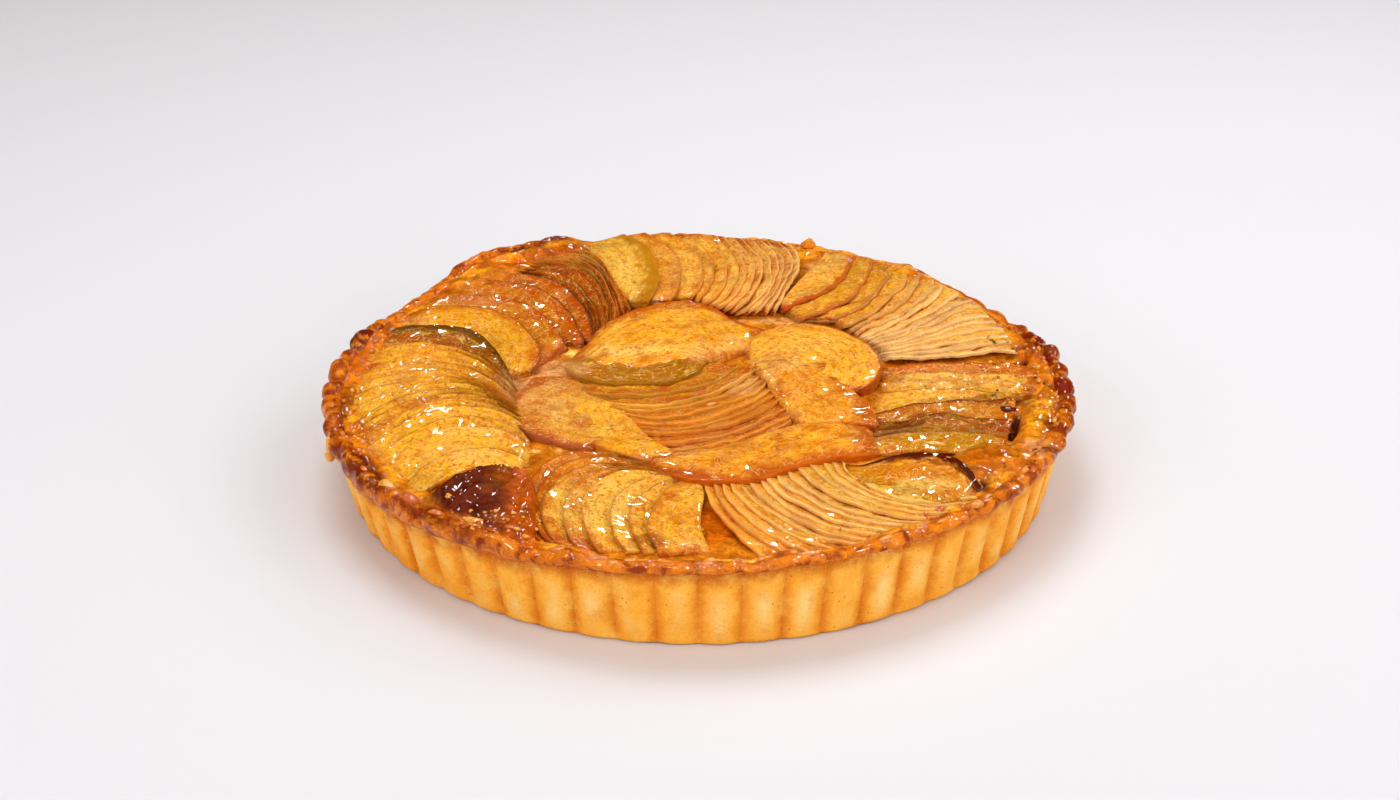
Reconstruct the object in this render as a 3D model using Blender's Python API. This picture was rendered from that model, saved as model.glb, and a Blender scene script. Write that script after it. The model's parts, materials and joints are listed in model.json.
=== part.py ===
"""Round apple tart: fluted shortcrust case, baked cream filling, fanned apple slices.

Metres, +Z up, origin at the bottom centre. Angles run counter-clockwise from +X.
Every fan is one solid whose top steps once per slice.
"""

import math

import bmesh
import bpy

# ---- crust ----
FLUTES = 60
POINTS_PER_FLUTE = 6
BASE_RADIUS = 0.1332       # flute crests at the foot
WALL_RADIUS = 0.1382       # flute crests just under the lip
FLUTE_DEPTH = 0.0022
LIP_FOOT_Z = 0.0262
LIP_Z = 0.0310
LIP_OUT = 0.0010           # how far the lip rolls out past the wall
WALL_THICKNESS = 0.0048
FLOOR_Z = 0.0050
INNER_BASE_RADIUS = 0.1270
# swellings of the lip: angle, half width in degrees, extra height, extra radius
LIP_SWELLS = (
    (117.0, 8.0, 0.0085, -0.0010),
    (133.0, 17.0, 0.0042, -0.0004),
    (163.0, 5.5, 0.0028, 0.0014),
    (148.0, 8.0, 0.0020, 0.0),
    (50.0, 7.0, 0.0016, 0.0),
    (33.0, 16.0, -0.0036, -0.0008),
    (9.0, 9.0, 0.0020, 0.0006),
    (352.0, 12.0, 0.0012, 0.0006),
    (330.0, 10.0, 0.0016, 0.0),
    (236.0, 9.0, 0.0012, 0.0),
    (84.0, 26.0, 0.0026, 0.0),
)

# ---- filling ----
GAP = 0.0003
BED_Z = 0.0250             # level the fans rest over
BED_RADIUS = 0.1278
BED_REACH = (88.0, 40.0, 0.0034)   # the bed runs further out here: angle, half width, extra
BAND_Z = 0.0288            # browned band between the fans and the lip
FILL_COLUMNS = 120
# puffs of the filling: radius, angle, half length, half width (degrees), height over the bed
PUFFS = (
    (0.1200, 233.5, 0.0160, 8.0, 0.0100),
    (0.1324, 116.0, 0.0040, 9.0, 0.0110),
    (0.1290, 329.0, 0.0060, 5.5, 0.0085),
    (0.1314, 48.0, 0.0040, 7.0, 0.0070),
    (0.1314, 195.0, 0.0040, 24.0, 0.0055),
    (0.1314, 345.0, 0.0040, 8.0, 0.0050),
)

# ---- apple fans ----
REST_Z = BED_Z + GAP
STEP = 0.0020              # rise from one slice to the next
EDGE_RUN = 0.0006          # plan width of one slice edge
END_RISE = 0.0018          # how far a slice's tips stand over the bed
ALONG = (0.0, 0.05, 0.16, 0.32, 0.5, 0.68, 0.84, 0.95, 1.0)
# each fan: slice count, the tips of the lowest and of the last slice edge as
# ((radius, angle) inner, (radius, angle) outer), the straight side of the top slice,
# bulge of the first and last edge, crest heights, and how the pitch grows
FANS = {
    "apple_fan_1": {
        "slices": 11, "pitch": 1.7, "bulge": (0.0040, 0.0115), "crest": (0.0380, 0.0356),
        "first": ((0.0650, 112.5), (0.1257, 113.5)),
        "last": ((0.0645, 154.5), (0.1262, 149.0)),
        "side": ((0.0660, 161.5), (0.1260, 156.5)),
    },
    "apple_fan_2": {
        "slices": 12, "pitch": 1.25, "bulge": (0.0050, 0.0090), "crest": (0.0360, 0.0340),
        "first": ((0.0680, 166.0), (0.1262, 160.5)),
        "last": ((0.0780, 216.0), (0.1245, 215.0)),
        "side": ((0.0830, 223.5), (0.1190, 221.5)),
    },
    "apple_fan_3": {
        "slices": 7, "pitch": 1.0, "bulge": (0.0070, 0.0060), "crest": (0.0340, 0.0335),
        "first": ((0.0750, 249.5), (0.1260, 247.5)),
        "last": ((0.0830, 263.5), (0.1262, 264.0)),
        "side": ((0.0840, 268.0), (0.1262, 268.5)),
    },
    "apple_fan_4": {
        "slices": 12, "pitch": 1.1, "bulge": (0.0020, 0.0090), "crest": (0.0335, 0.0345),
        "first": ((0.0840, 270.6), (0.1262, 270.6)),
        "last": ((0.0820, 303.5), (0.1262, 311.0)),
        "side": ((0.0840, 309.5), (0.1262, 318.5)), "side_bulge": -0.0095,
    },
    "apple_fan_5": {
        "slices": 7, "pitch": 1.0, "bulge": (-0.0020, -0.0035), "crest": (0.0330, 0.0345),
        "first": ((0.0690, 6.5), (0.1245, 5.5)),
        "last": ((0.0780, -34.5), (0.1200, -24.5)),
        "side": ((0.0820, -42.0), (0.1160, -29.0)),
    },
    "apple_fan_6": {
        "slices": 14, "pitch": 1.35, "bulge": (0.0025, 0.0050), "crest": (0.0330, 0.0362),
        "first": ((0.0720, 12.0), (0.1262, 11.5)),
        "last": ((0.0680, 54.0), (0.1262, 52.5)),
        "side": ((0.0660, 60.0), (0.1260, 60.4)),
    },
    "apple_fan_7": {
        "slices": 13, "pitch": 1.6, "bulge": (0.0030, 0.0055), "crest": (0.0370, 0.0386),
        "first": ((0.0680, 63.2), (0.1275, 63.4)),
        "last": ((0.0672, 101.0), (0.1288, 102.0)),
        "side": ((0.0668, 109.8), (0.1276, 109.2)),
    },
}
# the middle fan, with its tips as plan points
CENTRE_FAN = {
    "slices": 11, "pitch": 1.2, "bulge": (0.0120, 0.0130), "crest": (0.0325, 0.0350),
    "first": ((-0.0220, -0.0425), (0.0290, -0.0310)),
    "last": ((-0.0510, 0.0130), (0.0190, 0.0120)),
    "side": ((-0.0480, 0.0270), (0.0150, 0.0275)),
}
# ---- single slices: plan centre, half length, bulge, chord angle, height, fall ----
SINGLES = {
    "apple_slice_1": (-0.0120, 0.0315, 0.0300, 0.0295, 0.0, 0.0356, 0.06),
    "apple_slice_2": (0.0410, 0.0100, 0.0240, 0.0250, -30.0, 0.0348, 0.05),
    "apple_slice_3": (0.0490, -0.0200, 0.0215, 0.0160, 60.0, 0.0334, 0.04),
    "apple_slice_4": (0.0310, -0.0490, 0.0275, 0.0190, 201.0, 0.0328, 0.06),
    "apple_slice_5": (-0.0460, -0.0140, 0.0165, 0.0165, 109.0, 0.0325, 0.05),
    "apple_slice_6": (-0.0290, -0.0470, 0.0195, 0.0165, 135.0, 0.0320, 0.05),
}
SINGLE_ARC = 14

COLORS = {
    "crust": (0.79, 0.44, 0.13, 1.0),
    "filling": (0.72, 0.33, 0.07, 1.0),
    "apple": (0.83, 0.52, 0.12, 1.0),
}


def polar(radius, degrees):
    a = math.radians(degrees)
    return (radius * math.cos(a), radius * math.sin(a))


def swell(angle, centre, half):
    """1 at the centre angle, falling smoothly to 0 at the half width."""
    away = abs((angle - centre + 180.0) % 360.0 - 180.0) / half
    return 0.0 if away >= 1.0 else math.cos(away * math.pi / 2) ** 2


def make(name, material, bm):
    bmesh.ops.triangulate(bm, faces=[f for f in bm.faces if len(f.verts) > 4])
    bmesh.ops.recalc_face_normals(bm, faces=bm.faces)
    for face in bm.faces:
        face.smooth = True
    mesh = bpy.data.meshes.new(name)
    bm.to_mesh(mesh)
    bm.free()
    mesh.materials.append(material)
    obj = bpy.data.objects.new(name, mesh)
    bpy.context.scene.collection.objects.link(obj)
    return obj


def finish(name, color, roughness):
    mat = bpy.data.materials.new(name)
    mat.use_nodes = True
    shader = mat.node_tree.nodes["Principled BSDF"]
    shader.inputs["Base Color"].default_value = color
    shader.inputs["Roughness"].default_value = roughness
    shader.inputs["Coat Weight"].default_value = 0.3
    return mat


def ring_strip(bm, lower, upper):
    """Quads between two closed rings of the same count."""
    n = len(lower)
    for i in range(n):
        j = (i + 1) % n
        bm.faces.new((lower[i], lower[j], upper[j], upper[i]))


def ring_step(bm, fine, coarse):
    """Triangles between a fine ring and one with a whole fraction of its count."""
    ratio = len(fine) // len(coarse)
    for j, here in enumerate(coarse):
        after = coarse[(j + 1) % len(coarse)]
        half = ratio // 2
        for k in range(ratio):
            a = fine[(j * ratio + k) % len(fine)]
            b = fine[(j * ratio + k + 1) % len(fine)]
            bm.faces.new((a, b, here if k < half else after))
            if k == half - 1:
                bm.faces.new((b, after, here))


# ---- crust ----
def lip_height(angle):
    extra = sum(h * swell(angle, c, w) for c, w, h, _ in LIP_SWELLS)
    a = math.radians(angle)
    knobs = 0.0007 * math.sin(23 * a + 0.7) + 0.0005 * math.sin(37 * a + 2.1)
    return LIP_Z + extra + knobs


def wall_radius(z):
    """Inner face of the crust at height z."""
    share = (z - FLOOR_Z) / (LIP_Z - FLOOR_Z)
    return INNER_BASE_RADIUS + (WALL_RADIUS - WALL_THICKNESS - INNER_BASE_RADIUS) * share


def crust(material):
    bm = bmesh.new()
    count = FLUTES * POINTS_PER_FLUTE
    # each row: height share of the lip, radius of the crest, share of the flute depth
    rows = []
    lean = (WALL_RADIUS - BASE_RADIUS) / LIP_FOOT_Z
    for z, inset, depth in ((0.0, 0.0008, 0.8), (0.0012, 0.0, 1.0), (LIP_FOOT_Z, 0.0, 1.0)):
        rows.append([])
        for i in range(count):
            share = (i % POINTS_PER_FLUTE) / POINTS_PER_FLUTE
            dip = FLUTE_DEPTH * depth * (2 * share - 1) ** 2
            r = BASE_RADIUS + lean * z - inset - dip
            x, y = polar(r, 360.0 * i / count)
            rows[-1].append(bm.verts.new((x, y, z)))
    for out, up, depth in ((LIP_OUT, 0.35, 0.75), (LIP_OUT - 0.0004, 0.8, 0.5), (-0.0022, 1.0, 0.25)):
        rows.append([])
        for i in range(count):
            angle = 360.0 * i / count
            a = math.radians(angle)
            share = (i % POINTS_PER_FLUTE) / POINTS_PER_FLUTE
            wave = 0.0005 * math.sin(29 * a + 1.1) + 0.0004 * math.sin(41 * a)
            wave += sum(o * swell(angle, c, w) for c, w, _, o in LIP_SWELLS)
            dip = FLUTE_DEPTH * depth * (2 * share - 1) ** 2
            z = LIP_FOOT_Z + (lip_height(angle) - LIP_FOOT_Z) * up
            x, y = polar(WALL_RADIUS + out + wave - dip, angle)
            rows[-1].append(bm.verts.new((x, y, z)))
    for lower, upper in zip(rows, rows[1:]):
        ring_strip(bm, lower, upper)
    inner = []
    for level in (1.0, 0.5, 0.0):
        inner.append([])
        for i in range(count // 3):
            angle = 360.0 * i / (count // 3)
            z = FLOOR_Z + (lip_height(angle) - 0.0012 - FLOOR_Z) * level
            x, y = polar(wall_radius(z), angle)
            inner[-1].append(bm.verts.new((x, y, z)))
    ring_step(bm, rows[-1], inner[0])
    ring_strip(bm, inner[0], inner[1])
    ring_strip(bm, inner[1], inner[2])
    for ring, z in ((rows[0], 0.0), (inner[2], FLOOR_Z)):
        hub = bm.verts.new((0.0, 0.0, z))
        for i in range(len(ring)):
            bm.faces.new((ring[i], ring[(i + 1) % len(ring)], hub))
    return make("crust", material, bm)


# ---- filling ----
def bed_radius(angle):
    centre, half, extra = BED_REACH
    return BED_RADIUS + extra * swell(angle, centre, half)


def filling_height(radius, angle):
    z = BED_Z
    if radius > bed_radius(angle):
        z = BAND_Z + 0.0006 * math.sin(math.radians(angle * 17)) * math.sin(math.radians(angle * 5))
    rise = 0.0
    for r, a, half_r, half_a, height in PUFFS:
        near = max(0.0, 1.0 - ((radius - r) / half_r) ** 2)
        rise = max(rise, height * near * swell(angle, a, half_a))
    return max(z, BED_Z + rise)


def filling(material):
    bm = bmesh.new()
    low = FLOOR_Z + GAP
    inside = (0.03, 0.0600, 0.0850, 0.1040, 0.1090, 0.1150, 0.1210, 0.1255)
    rings = []
    for _ in range(6 + len(inside)):
        rings.append([])
    for i in range(FILL_COLUMNS):
        angle = 360.0 * i / FILL_COLUMNS
        edge = bed_radius(angle)
        radii = inside + (edge - 0.0006, edge + 0.0008, (edge + 0.1326) / 2)
        top = filling_height(0.1322, angle) - 0.0008
        for ring, z in zip(rings, (low, 0.016, top)):
            x, y = polar(wall_radius(z) - 1.4 * GAP, angle)
            ring.append(bm.verts.new((x, y, z)))
        for ring, radius in zip(rings[3:], reversed(radii)):
            x, y = polar(radius, angle)
            ring.append(bm.verts.new((x, y, filling_height(radius, angle))))
    for lower, upper in zip(rings, rings[1:]):
        ring_strip(bm, lower, upper)
    for ring, z in ((rings[0], low), (rings[-1], BED_Z)):
        hub = bm.verts.new((0.0, 0.0, z))
        for i in range(len(ring)):
            bm.faces.new((ring[i], ring[(i + 1) % len(ring)], hub))
    return make("filling", material, bm)


# ---- fans ----
def mix(a, b, t):
    return a + (b - a) * t


def edge_row(place, tips_a, tips_b, t, bulge, crest, drop, shift):
    """Points along one slice edge, t of the way between two edges, shifted in plan."""
    ends = []
    for one, other in zip(tips_a, tips_b):
        ends.append(place(mix(one[0], other[0], t), mix(one[1], other[1], t)))
    (xi, yi), (xo, yo) = ends
    length = math.hypot(xo - xi, yo - yi)
    nx, ny = -(yo - yi) / length, (xo - xi) / length
    points = []
    for s in ALONG:
        arch = (1.0 - abs(2 * s - 1) ** 2.4) ** 0.62
        rise = (1.0 - abs(2 * s - 1) ** 5.0) ** 0.5
        push = shift - bulge * arch
        z = REST_Z + END_RISE + (crest - drop - REST_Z - END_RISE) * rise
        points.append((mix(xi, xo, s) + nx * push, mix(yi, yo, s) + ny * push, z))
    return points


def solid_from_rows(name, material, rows):
    """Closed solid: the rows are its top, and its flat underside rests over the bed."""
    bm = bmesh.new()
    grid = [[bm.verts.new(p) for p in row] for row in rows]
    for upper, lower in zip(grid, grid[1:]):
        for i in range(len(upper) - 1):
            bm.faces.new((upper[i], upper[i + 1], lower[i + 1], lower[i]))
    rim = list(grid[0])
    rim += [row[-1] for row in grid[1:]]
    rim += list(reversed(grid[-1][:-1]))
    rim += [row[0] for row in reversed(grid[1:-1])]
    foot = [bm.verts.new((v.co.x, v.co.y, REST_Z)) for v in rim]
    ring_strip(bm, foot, rim)
    bm.faces.new(foot)
    return make(name, material, bm)


def fan(name, spec, place, material):
    turn = 1.0 if spec["bulge"][0] > 0 else -1.0
    rows = []
    count = spec["slices"]
    for k in range(count):
        t = (k / (count - 1)) ** spec["pitch"]
        bulge = mix(spec["bulge"][0], spec["bulge"][1], t)
        crest = mix(spec["crest"][0], spec["crest"][1], t)
        args = (place, spec["first"], spec["last"], t, bulge, crest)
        rows.append(edge_row(*args, STEP, -turn * EDGE_RUN))
        rows.append(edge_row(*args, 0.0, 0.0))
    side = spec.get("side_bulge", 0.25 * spec["bulge"][1])
    last = (place, spec["side"], spec["side"], 0.0, side, spec["crest"][1])
    rows.append(edge_row(*last, 1.6 * STEP, 0.0))
    return solid_from_rows(name, material, rows)


def single(name, values, material):
    """One slice lying on the bed: a half moon with a rounded upper edge."""
    cx, cy, half, bulge, chord, height, fall = values
    a = math.radians(chord)
    ux, uy = math.cos(a), math.sin(a)
    nx, ny = -uy, ux
    bm = bmesh.new()
    rings = []
    for inset, z_share in ((0.0, 0.0), (0.0, 0.72), (0.0018, 1.0)):
        rings.append([])
        for i in range(SINGLE_ARC + 1):
            b = math.pi * i / SINGLE_ARC
            along = (half - inset) * math.cos(b)
            out = (bulge - 2 * inset) * math.sin(b) + inset
            top = height - fall * out
            z = REST_Z + (top - REST_Z) * z_share
            x = cx + ux * along + nx * out
            y = cy + uy * along + ny * out
            rings[-1].append(bm.verts.new((x, y, z)))
    ring_strip(bm, rings[0], rings[1])
    ring_strip(bm, rings[1], rings[2])
    bm.faces.new(rings[0])
    bm.faces.new(rings[2])
    return make(name, material, bm)


for old in list(bpy.data.objects):
    bpy.data.objects.remove(old, do_unlink=True)

crust(finish("crust", COLORS["crust"], 0.6))
filling(finish("filling", COLORS["filling"], 0.45))
for label, spec in FANS.items():
    fan(label, spec, polar, finish(label, COLORS["apple"], 0.35))
plain = finish("apple_fan_centre", COLORS["apple"], 0.35)
fan("apple_fan_centre", CENTRE_FAN, lambda x, y: (x, y), plain)
for label, values in SINGLES.items():
    single(label, values, finish(label, COLORS["apple"], 0.35))
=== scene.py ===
import json
import math
import random

import bpy
import numpy as np
from mathutils.bvhtree import BVHTree
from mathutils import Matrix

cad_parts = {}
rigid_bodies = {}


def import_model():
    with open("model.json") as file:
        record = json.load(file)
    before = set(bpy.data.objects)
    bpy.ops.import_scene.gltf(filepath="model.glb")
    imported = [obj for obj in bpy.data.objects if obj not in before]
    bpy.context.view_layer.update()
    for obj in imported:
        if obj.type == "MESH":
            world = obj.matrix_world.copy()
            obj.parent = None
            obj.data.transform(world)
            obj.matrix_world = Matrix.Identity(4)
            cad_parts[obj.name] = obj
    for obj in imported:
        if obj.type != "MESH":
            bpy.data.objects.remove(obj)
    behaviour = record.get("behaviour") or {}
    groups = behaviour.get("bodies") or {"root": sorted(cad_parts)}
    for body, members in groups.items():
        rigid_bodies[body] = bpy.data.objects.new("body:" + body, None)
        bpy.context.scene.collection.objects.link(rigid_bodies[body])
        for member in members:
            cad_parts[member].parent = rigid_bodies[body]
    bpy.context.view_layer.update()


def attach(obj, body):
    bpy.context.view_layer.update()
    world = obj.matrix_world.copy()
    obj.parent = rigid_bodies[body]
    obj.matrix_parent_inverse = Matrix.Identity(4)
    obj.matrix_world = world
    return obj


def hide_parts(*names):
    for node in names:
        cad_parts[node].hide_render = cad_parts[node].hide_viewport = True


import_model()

# Apple tart: fluted shortcrust, almond cream, seven fans of sliced apple round a centre fan, apricot glaze.
# Metres, +Z up, angles in degrees counter-clockwise from +X.

scene = bpy.context.scene
randomDraw = random.Random(28)


# small helpers
def toLinear(hexCode):
    # sRGB hex to linear
    parts = [int(hexCode[i:i + 2], 16) / 255 for i in (1, 3, 5)]
    return [p / 12.92 if p <= 0.04045 else ((p + 0.055) / 1.055) ** 2.4 for p in parts]


def hexRow(hexCode):
    return np.array(toLinear(hexCode))


def mixed(color, hexCode, share):
    # lays a hex colour over rows of colour, by the share of each row
    return color * (1 - share) + hexRow(hexCode) * share


def smooth(low, high, x):
    t = np.clip((x - low) / (high - low), 0.0, 1.0)
    return t * t * (3 - 2 * t)


def bumpAt(angle, centre, half):
    # 1 at the centre angle, 0 past the half width
    away = np.abs((angle - centre + 180.0) % 360.0 - 180.0) / half
    return np.where(away >= 1.0, 0.0, np.cos(np.minimum(away, 1.0) * math.pi / 2) ** 2)


def around(angle, stops):
    # value by angle from a table of (angle, value)
    table = np.array(stops)
    return np.interp(angle % 360.0, table[:, 0], table[:, 1], period=360.0)


def lattice(cells, seed):
    # repeatable value between -1 and 1 for whole-number cells
    dots = cells[:, 0] * 127.1 + cells[:, 1] * 311.7 + cells[:, 2] * 74.7 + seed * 19.19
    return 2 * ((np.sin(dots) * 43758.5453) % 1.0) - 1


def lumps(points, size, seed, layers=1):
    # smooth noise between about -1 and 1, with a grain of the given size in metres
    total = np.zeros(len(points))
    weight, norm = 1.0, 0.0
    for layer in range(layers):
        p = points / size * (2 ** layer)
        base = np.floor(p)
        f = p - base
        f = f * f * (3 - 2 * f)
        value = np.zeros(len(points))
        for dx in (0, 1):
            for dy in (0, 1):
                for dz in (0, 1):
                    corner = lattice(base + np.array([dx, dy, dz]), seed + layer * 7)
                    share = (f[:, 0] if dx else 1 - f[:, 0]) * (f[:, 1] if dy else 1 - f[:, 1])
                    value += corner * share * (f[:, 2] if dz else 1 - f[:, 2])
        total += value * weight
        norm += weight
        weight *= 0.5
    return total / norm


def smoothBand(points, size, seed, layers, low, high):
    # share from 0 to 1 where the noise passes from low to high
    return smooth(low, high, lumps(points, size, seed, layers))


def readPoints(mesh):
    flat = np.empty(len(mesh.vertices) * 3)
    mesh.vertices.foreach_get("co", flat)
    return flat.reshape(-1, 3)


def writePoints(mesh, points):
    mesh.vertices.foreach_set("co", np.ascontiguousarray(points, dtype=np.float32).ravel())
    mesh.update()


def paint(mesh, name, values):
    # a colour for each point: 3 or 4 columns
    layer = mesh.attributes.get(name) or mesh.attributes.new(name, "FLOAT_COLOR", "POINT")
    full = np.ones((len(values), 4), dtype=np.float32)
    full[:, :values.shape[1]] = values
    layer.data.foreach_set("color", full.ravel())


def nothingSelected():
    if bpy.context.object and bpy.context.object.mode != "OBJECT":
        bpy.ops.object.mode_set(mode="OBJECT")
    bpy.ops.object.select_all(action="DESELECT")


def useModifier(obj, kind, **settings):
    bpy.context.view_layer.objects.active = obj
    mod = obj.modifiers.new(kind.title(), kind)
    for key, value in settings.items():
        setattr(mod, key, value)
    bpy.ops.object.modifier_apply(modifier=mod.name)


def joinUp(pieces, name):
    nothingSelected()
    for piece in pieces:
        piece.select_set(True)
    bpy.context.view_layer.objects.active = pieces[0]
    if len(pieces) > 1:
        bpy.ops.object.join()
    whole = bpy.context.view_layer.objects.active
    whole.name = name
    whole.data.name = name
    return whole


def smoothShade(obj, degrees=50):
    nothingSelected()
    obj.select_set(True)
    bpy.context.view_layer.objects.active = obj
    bpy.ops.object.shade_smooth_by_angle(angle=math.radians(degrees), keep_sharp_edges=False)


def settle(obj, node):
    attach(obj, "root")
    if node:
        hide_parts(node)


# camera, lights and floor; metres, degrees, the lens in millimetres
view = {
    "distance": 0.80,
    "elevation": 27.75,
    "lookAt": (0.0, 0.0, 0.015),
    "lens": 53.74,
    "shiftX": 0.0011,
    "shiftY": 0.0135,
}
tilt = math.radians(view["elevation"])
camData = bpy.data.cameras.new("tartCamera")
camData.lens = view["lens"]
camData.sensor_width = 36.0
camData.shift_x = view["shiftX"]
camData.shift_y = view["shiftY"]
camData.clip_start = 0.05
camData.clip_end = 20.0
camera = bpy.data.objects.new("tartCamera", camData)
camera.location = (0.0, -view["distance"] * math.cos(tilt),
                   view["lookAt"][2] + view["distance"] * math.sin(tilt))
camera.rotation_euler = (math.pi / 2 - tilt, 0.0, 0.0)
scene.collection.objects.link(camera)
scene.camera = camera
scene.view_settings.view_transform = "Standard"
scene.view_settings.look = "None"

# each lamp: its place, the side of its square in metres, its power in watts
light = {
    "overhead": {"place": (-0.15, 0.30, 1.10), "size": 0.60, "power": 6.4},
    "frontLeft": {"place": (-0.80, -0.90, 0.75), "size": 0.80, "power": 8.2},
    "frontRight": {"place": (0.90, -0.70, 0.60), "size": 0.80, "power": 6.6},
    "backRight": {"place": (0.60, 0.45, 0.75), "size": 0.60, "power": 3.2},
    "glintBack": {"place": (0.35, 1.05, 0.80), "size": 0.10, "power": 1.6},
    "glintBackLeft": {"place": (-0.45, 0.95, 0.90), "size": 0.08, "power": 1.1},
    "glintHigh": {"place": (0.05, 0.50, 1.15), "size": 0.09, "power": 1.3},
    "glintAbove": {"place": (-0.20, 0.05, 1.15), "size": 0.10, "power": 1.9},
    "glintAboveRight": {"place": (0.30, -0.05, 1.10), "size": 0.09, "power": 1.3},
    "glintLeft": {"place": (-0.90, 0.25, 0.85), "size": 0.08, "power": 1.1},
    "glintRight": {"place": (0.85, 0.40, 0.80), "size": 0.10, "power": 1.6},
    "glintFront": {"place": (-0.20, -0.50, 1.00), "size": 0.14, "power": 2.8},
    "glintFrontRight": {"place": (0.50, -0.30, 0.95), "size": 0.12, "power": 1.9},
}
for label, values in light.items():
    lampData = bpy.data.lights.new(label + "Softbox", "AREA")
    lampData.shape = "SQUARE"
    lampData.size = values["size"]
    lampData.energy = values["power"]
    lamp = bpy.data.objects.new(label + "Softbox", lampData)
    # only the small lamps are seen in the glaze, and they light nothing else
    lamp.visible_glossy = "glint" in label
    lamp.visible_diffuse = "glint" not in label
    lamp.location = values["place"]
    toward = np.array(values["place"]) - np.array([0.0, 0.0, 0.02])
    flat = math.hypot(toward[0], toward[1])
    lamp.rotation_euler = (math.atan2(flat, toward[2]), 0.0, math.atan2(toward[1], toward[0]) + math.pi / 2)
    scene.collection.objects.link(lamp)

studio = {"strength": 0.44, "pale": "#F8F3EC", "lowBack": "#46403C", "paper": "#DAD9DD", "floorSize": 14.0}
world = bpy.data.worlds.new("paleStudio")
scene.world = world
world.use_nodes = True
backdrop = world.node_tree.nodes["Background"]
backdrop.inputs["Strength"].default_value = studio["strength"]

nothingSelected()
bpy.ops.mesh.primitive_plane_add(size=studio["floorSize"], location=(0.0, 3.0, -0.0002))
floor = bpy.context.object
floor.name = "studioFloor"
print("camera, lights and floor set")


# materials
def addNode(tree, kind, settings=None, inputs=None):
    # one node: each input is a value, a hex colour, or the socket it is linked from
    node = tree.nodes.new(kind)
    for key, value in (settings or {}).items():
        setattr(node, key, value)
    for key, value in (inputs or {}).items():
        if isinstance(value, bpy.types.NodeSocket):
            tree.links.new(value, node.inputs[key])
        elif isinstance(value, str):
            node.inputs[key].default_value = (*toLinear(value), 1.0)
        else:
            node.inputs[key].default_value = value
    return node


def startMaterial(name, fixed):
    # a new material, its shader, and the values that are the same all over it
    mat = bpy.data.materials.new(name)
    mat.use_nodes = True
    tree = mat.node_tree
    shader = tree.nodes["Principled BSDF"]
    for socket, value in fixed.items():
        shader.inputs[socket].default_value = value
    return mat, tree, shader


def layColors(tree, color, layers):
    # each layer: what it follows, where it starts, where it is full, its share there, its colour
    for source, start, full, most, over in layers:
        share = addNode(tree, "ShaderNodeMapRange", None, {0: source, 1: start, 2: full, 4: most}).outputs[0]
        color = addNode(tree, "ShaderNodeMix", {"data_type": "RGBA"},
                        {0: share, 6: color, 7: over}).outputs[2]
    return color


# the studio: pale all round, darker low down at the back so that the glaze keeps its colour
tree = world.node_tree
heading = addNode(tree, "ShaderNodeTexCoord").outputs["Generated"]
heading = addNode(tree, "ShaderNodeSeparateXYZ", None, {0: heading})
towardBack = addNode(tree, "ShaderNodeMapRange", None, {0: heading.outputs[1], 1: -0.1, 2: 0.5}).outputs[0]
lowDown = addNode(tree, "ShaderNodeMapRange", None, {0: heading.outputs[2], 1: 0.85, 2: 0.60}).outputs[0]
back = addNode(tree, "ShaderNodeMath", {"operation": "MULTIPLY"}, {0: towardBack, 1: lowDown}).outputs[0]
sky = addNode(tree, "ShaderNodeMix", {"data_type": "RGBA"},
              {0: back, 6: studio["pale"], 7: studio["lowBack"]}).outputs[2]
tree.links.new(sky, backdrop.inputs["Color"])

# the studio floor: seamless white paper, matt
floorMat, tree, shader = startMaterial("seamlessPaper", {"Roughness": 0.9})
shader.inputs["Base Color"].default_value = (*toLinear(studio["paper"]), 1.0)
floor.data.materials.append(floorMat)

# baked apple: wet flesh under a clear apricot glaze; golden, mottled, paler toward the core, edges toasted
appleLook = {
    "speckle": 0.0014,      # metres, size of the brown specks
    "mottle": 0.0030,       # mottling across a slice, a little longer along it
    "patch": 0.009,         # caramelised patches
    "fibre": 0.0008,        # faint streaks along the cut face
    "filmAndSheen": 0.020,          # milky patches: partly the glaze's own film, partly painted sheen
    "threadHighlight": 0.0075,       # fine pale threads, painted highlights of the glaze
    "ripple": 0.0017,       # ripples in the glaze
    "edgeScale": 200.0,     # an edge's width in metres times this is kept in a slice's marks
}
appleMat, tree, shader = startMaterial("bakedAppleGlazed", {
    "Roughness": 0.50, "Specular IOR Level": 0.0, "Coat Weight": 0.8, "Coat Roughness": 0.05,
    "Coat IOR": 1.40,
    "Subsurface Weight": 0.30, "Subsurface Radius": (1.0, 0.42, 0.08), "Subsurface Scale": 0.004})
place = addNode(tree, "ShaderNodeTexCoord").outputs["Object"]
uvPlace = addNode(tree, "ShaderNodeUVMap", {"uv_map": "UVMap"}).outputs[0]
fromArc = addNode(tree, "ShaderNodeSeparateXYZ", None, {0: uvPlace}).outputs[1]
tint = addNode(tree, "ShaderNodeAttribute", {"attribute_name": "tint"}).outputs["Color"]
rim = addNode(tree, "ShaderNodeAttribute", {"attribute_name": "rim"}).outputs["Color"]
marks = addNode(tree, "ShaderNodeAttribute", {"attribute_name": "marks"})
split = addNode(tree, "ShaderNodeSeparateColor", None, {0: marks.outputs["Color"]})
edgeWide, browned, charred = split.outputs[0], split.outputs[1], split.outputs[2]
patch = addNode(tree, "ShaderNodeTexNoise", None,
                {"Scale": 1 / appleLook["patch"], "Detail": 4.0, "Roughness": 0.6,
                 "Vector": place}).outputs[0]
speck = addNode(tree, "ShaderNodeTexNoise", None,
                {"Scale": 1 / appleLook["speckle"], "Detail": 2.0, "Roughness": 0.55,
                 "Vector": place}).outputs[0]
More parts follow.
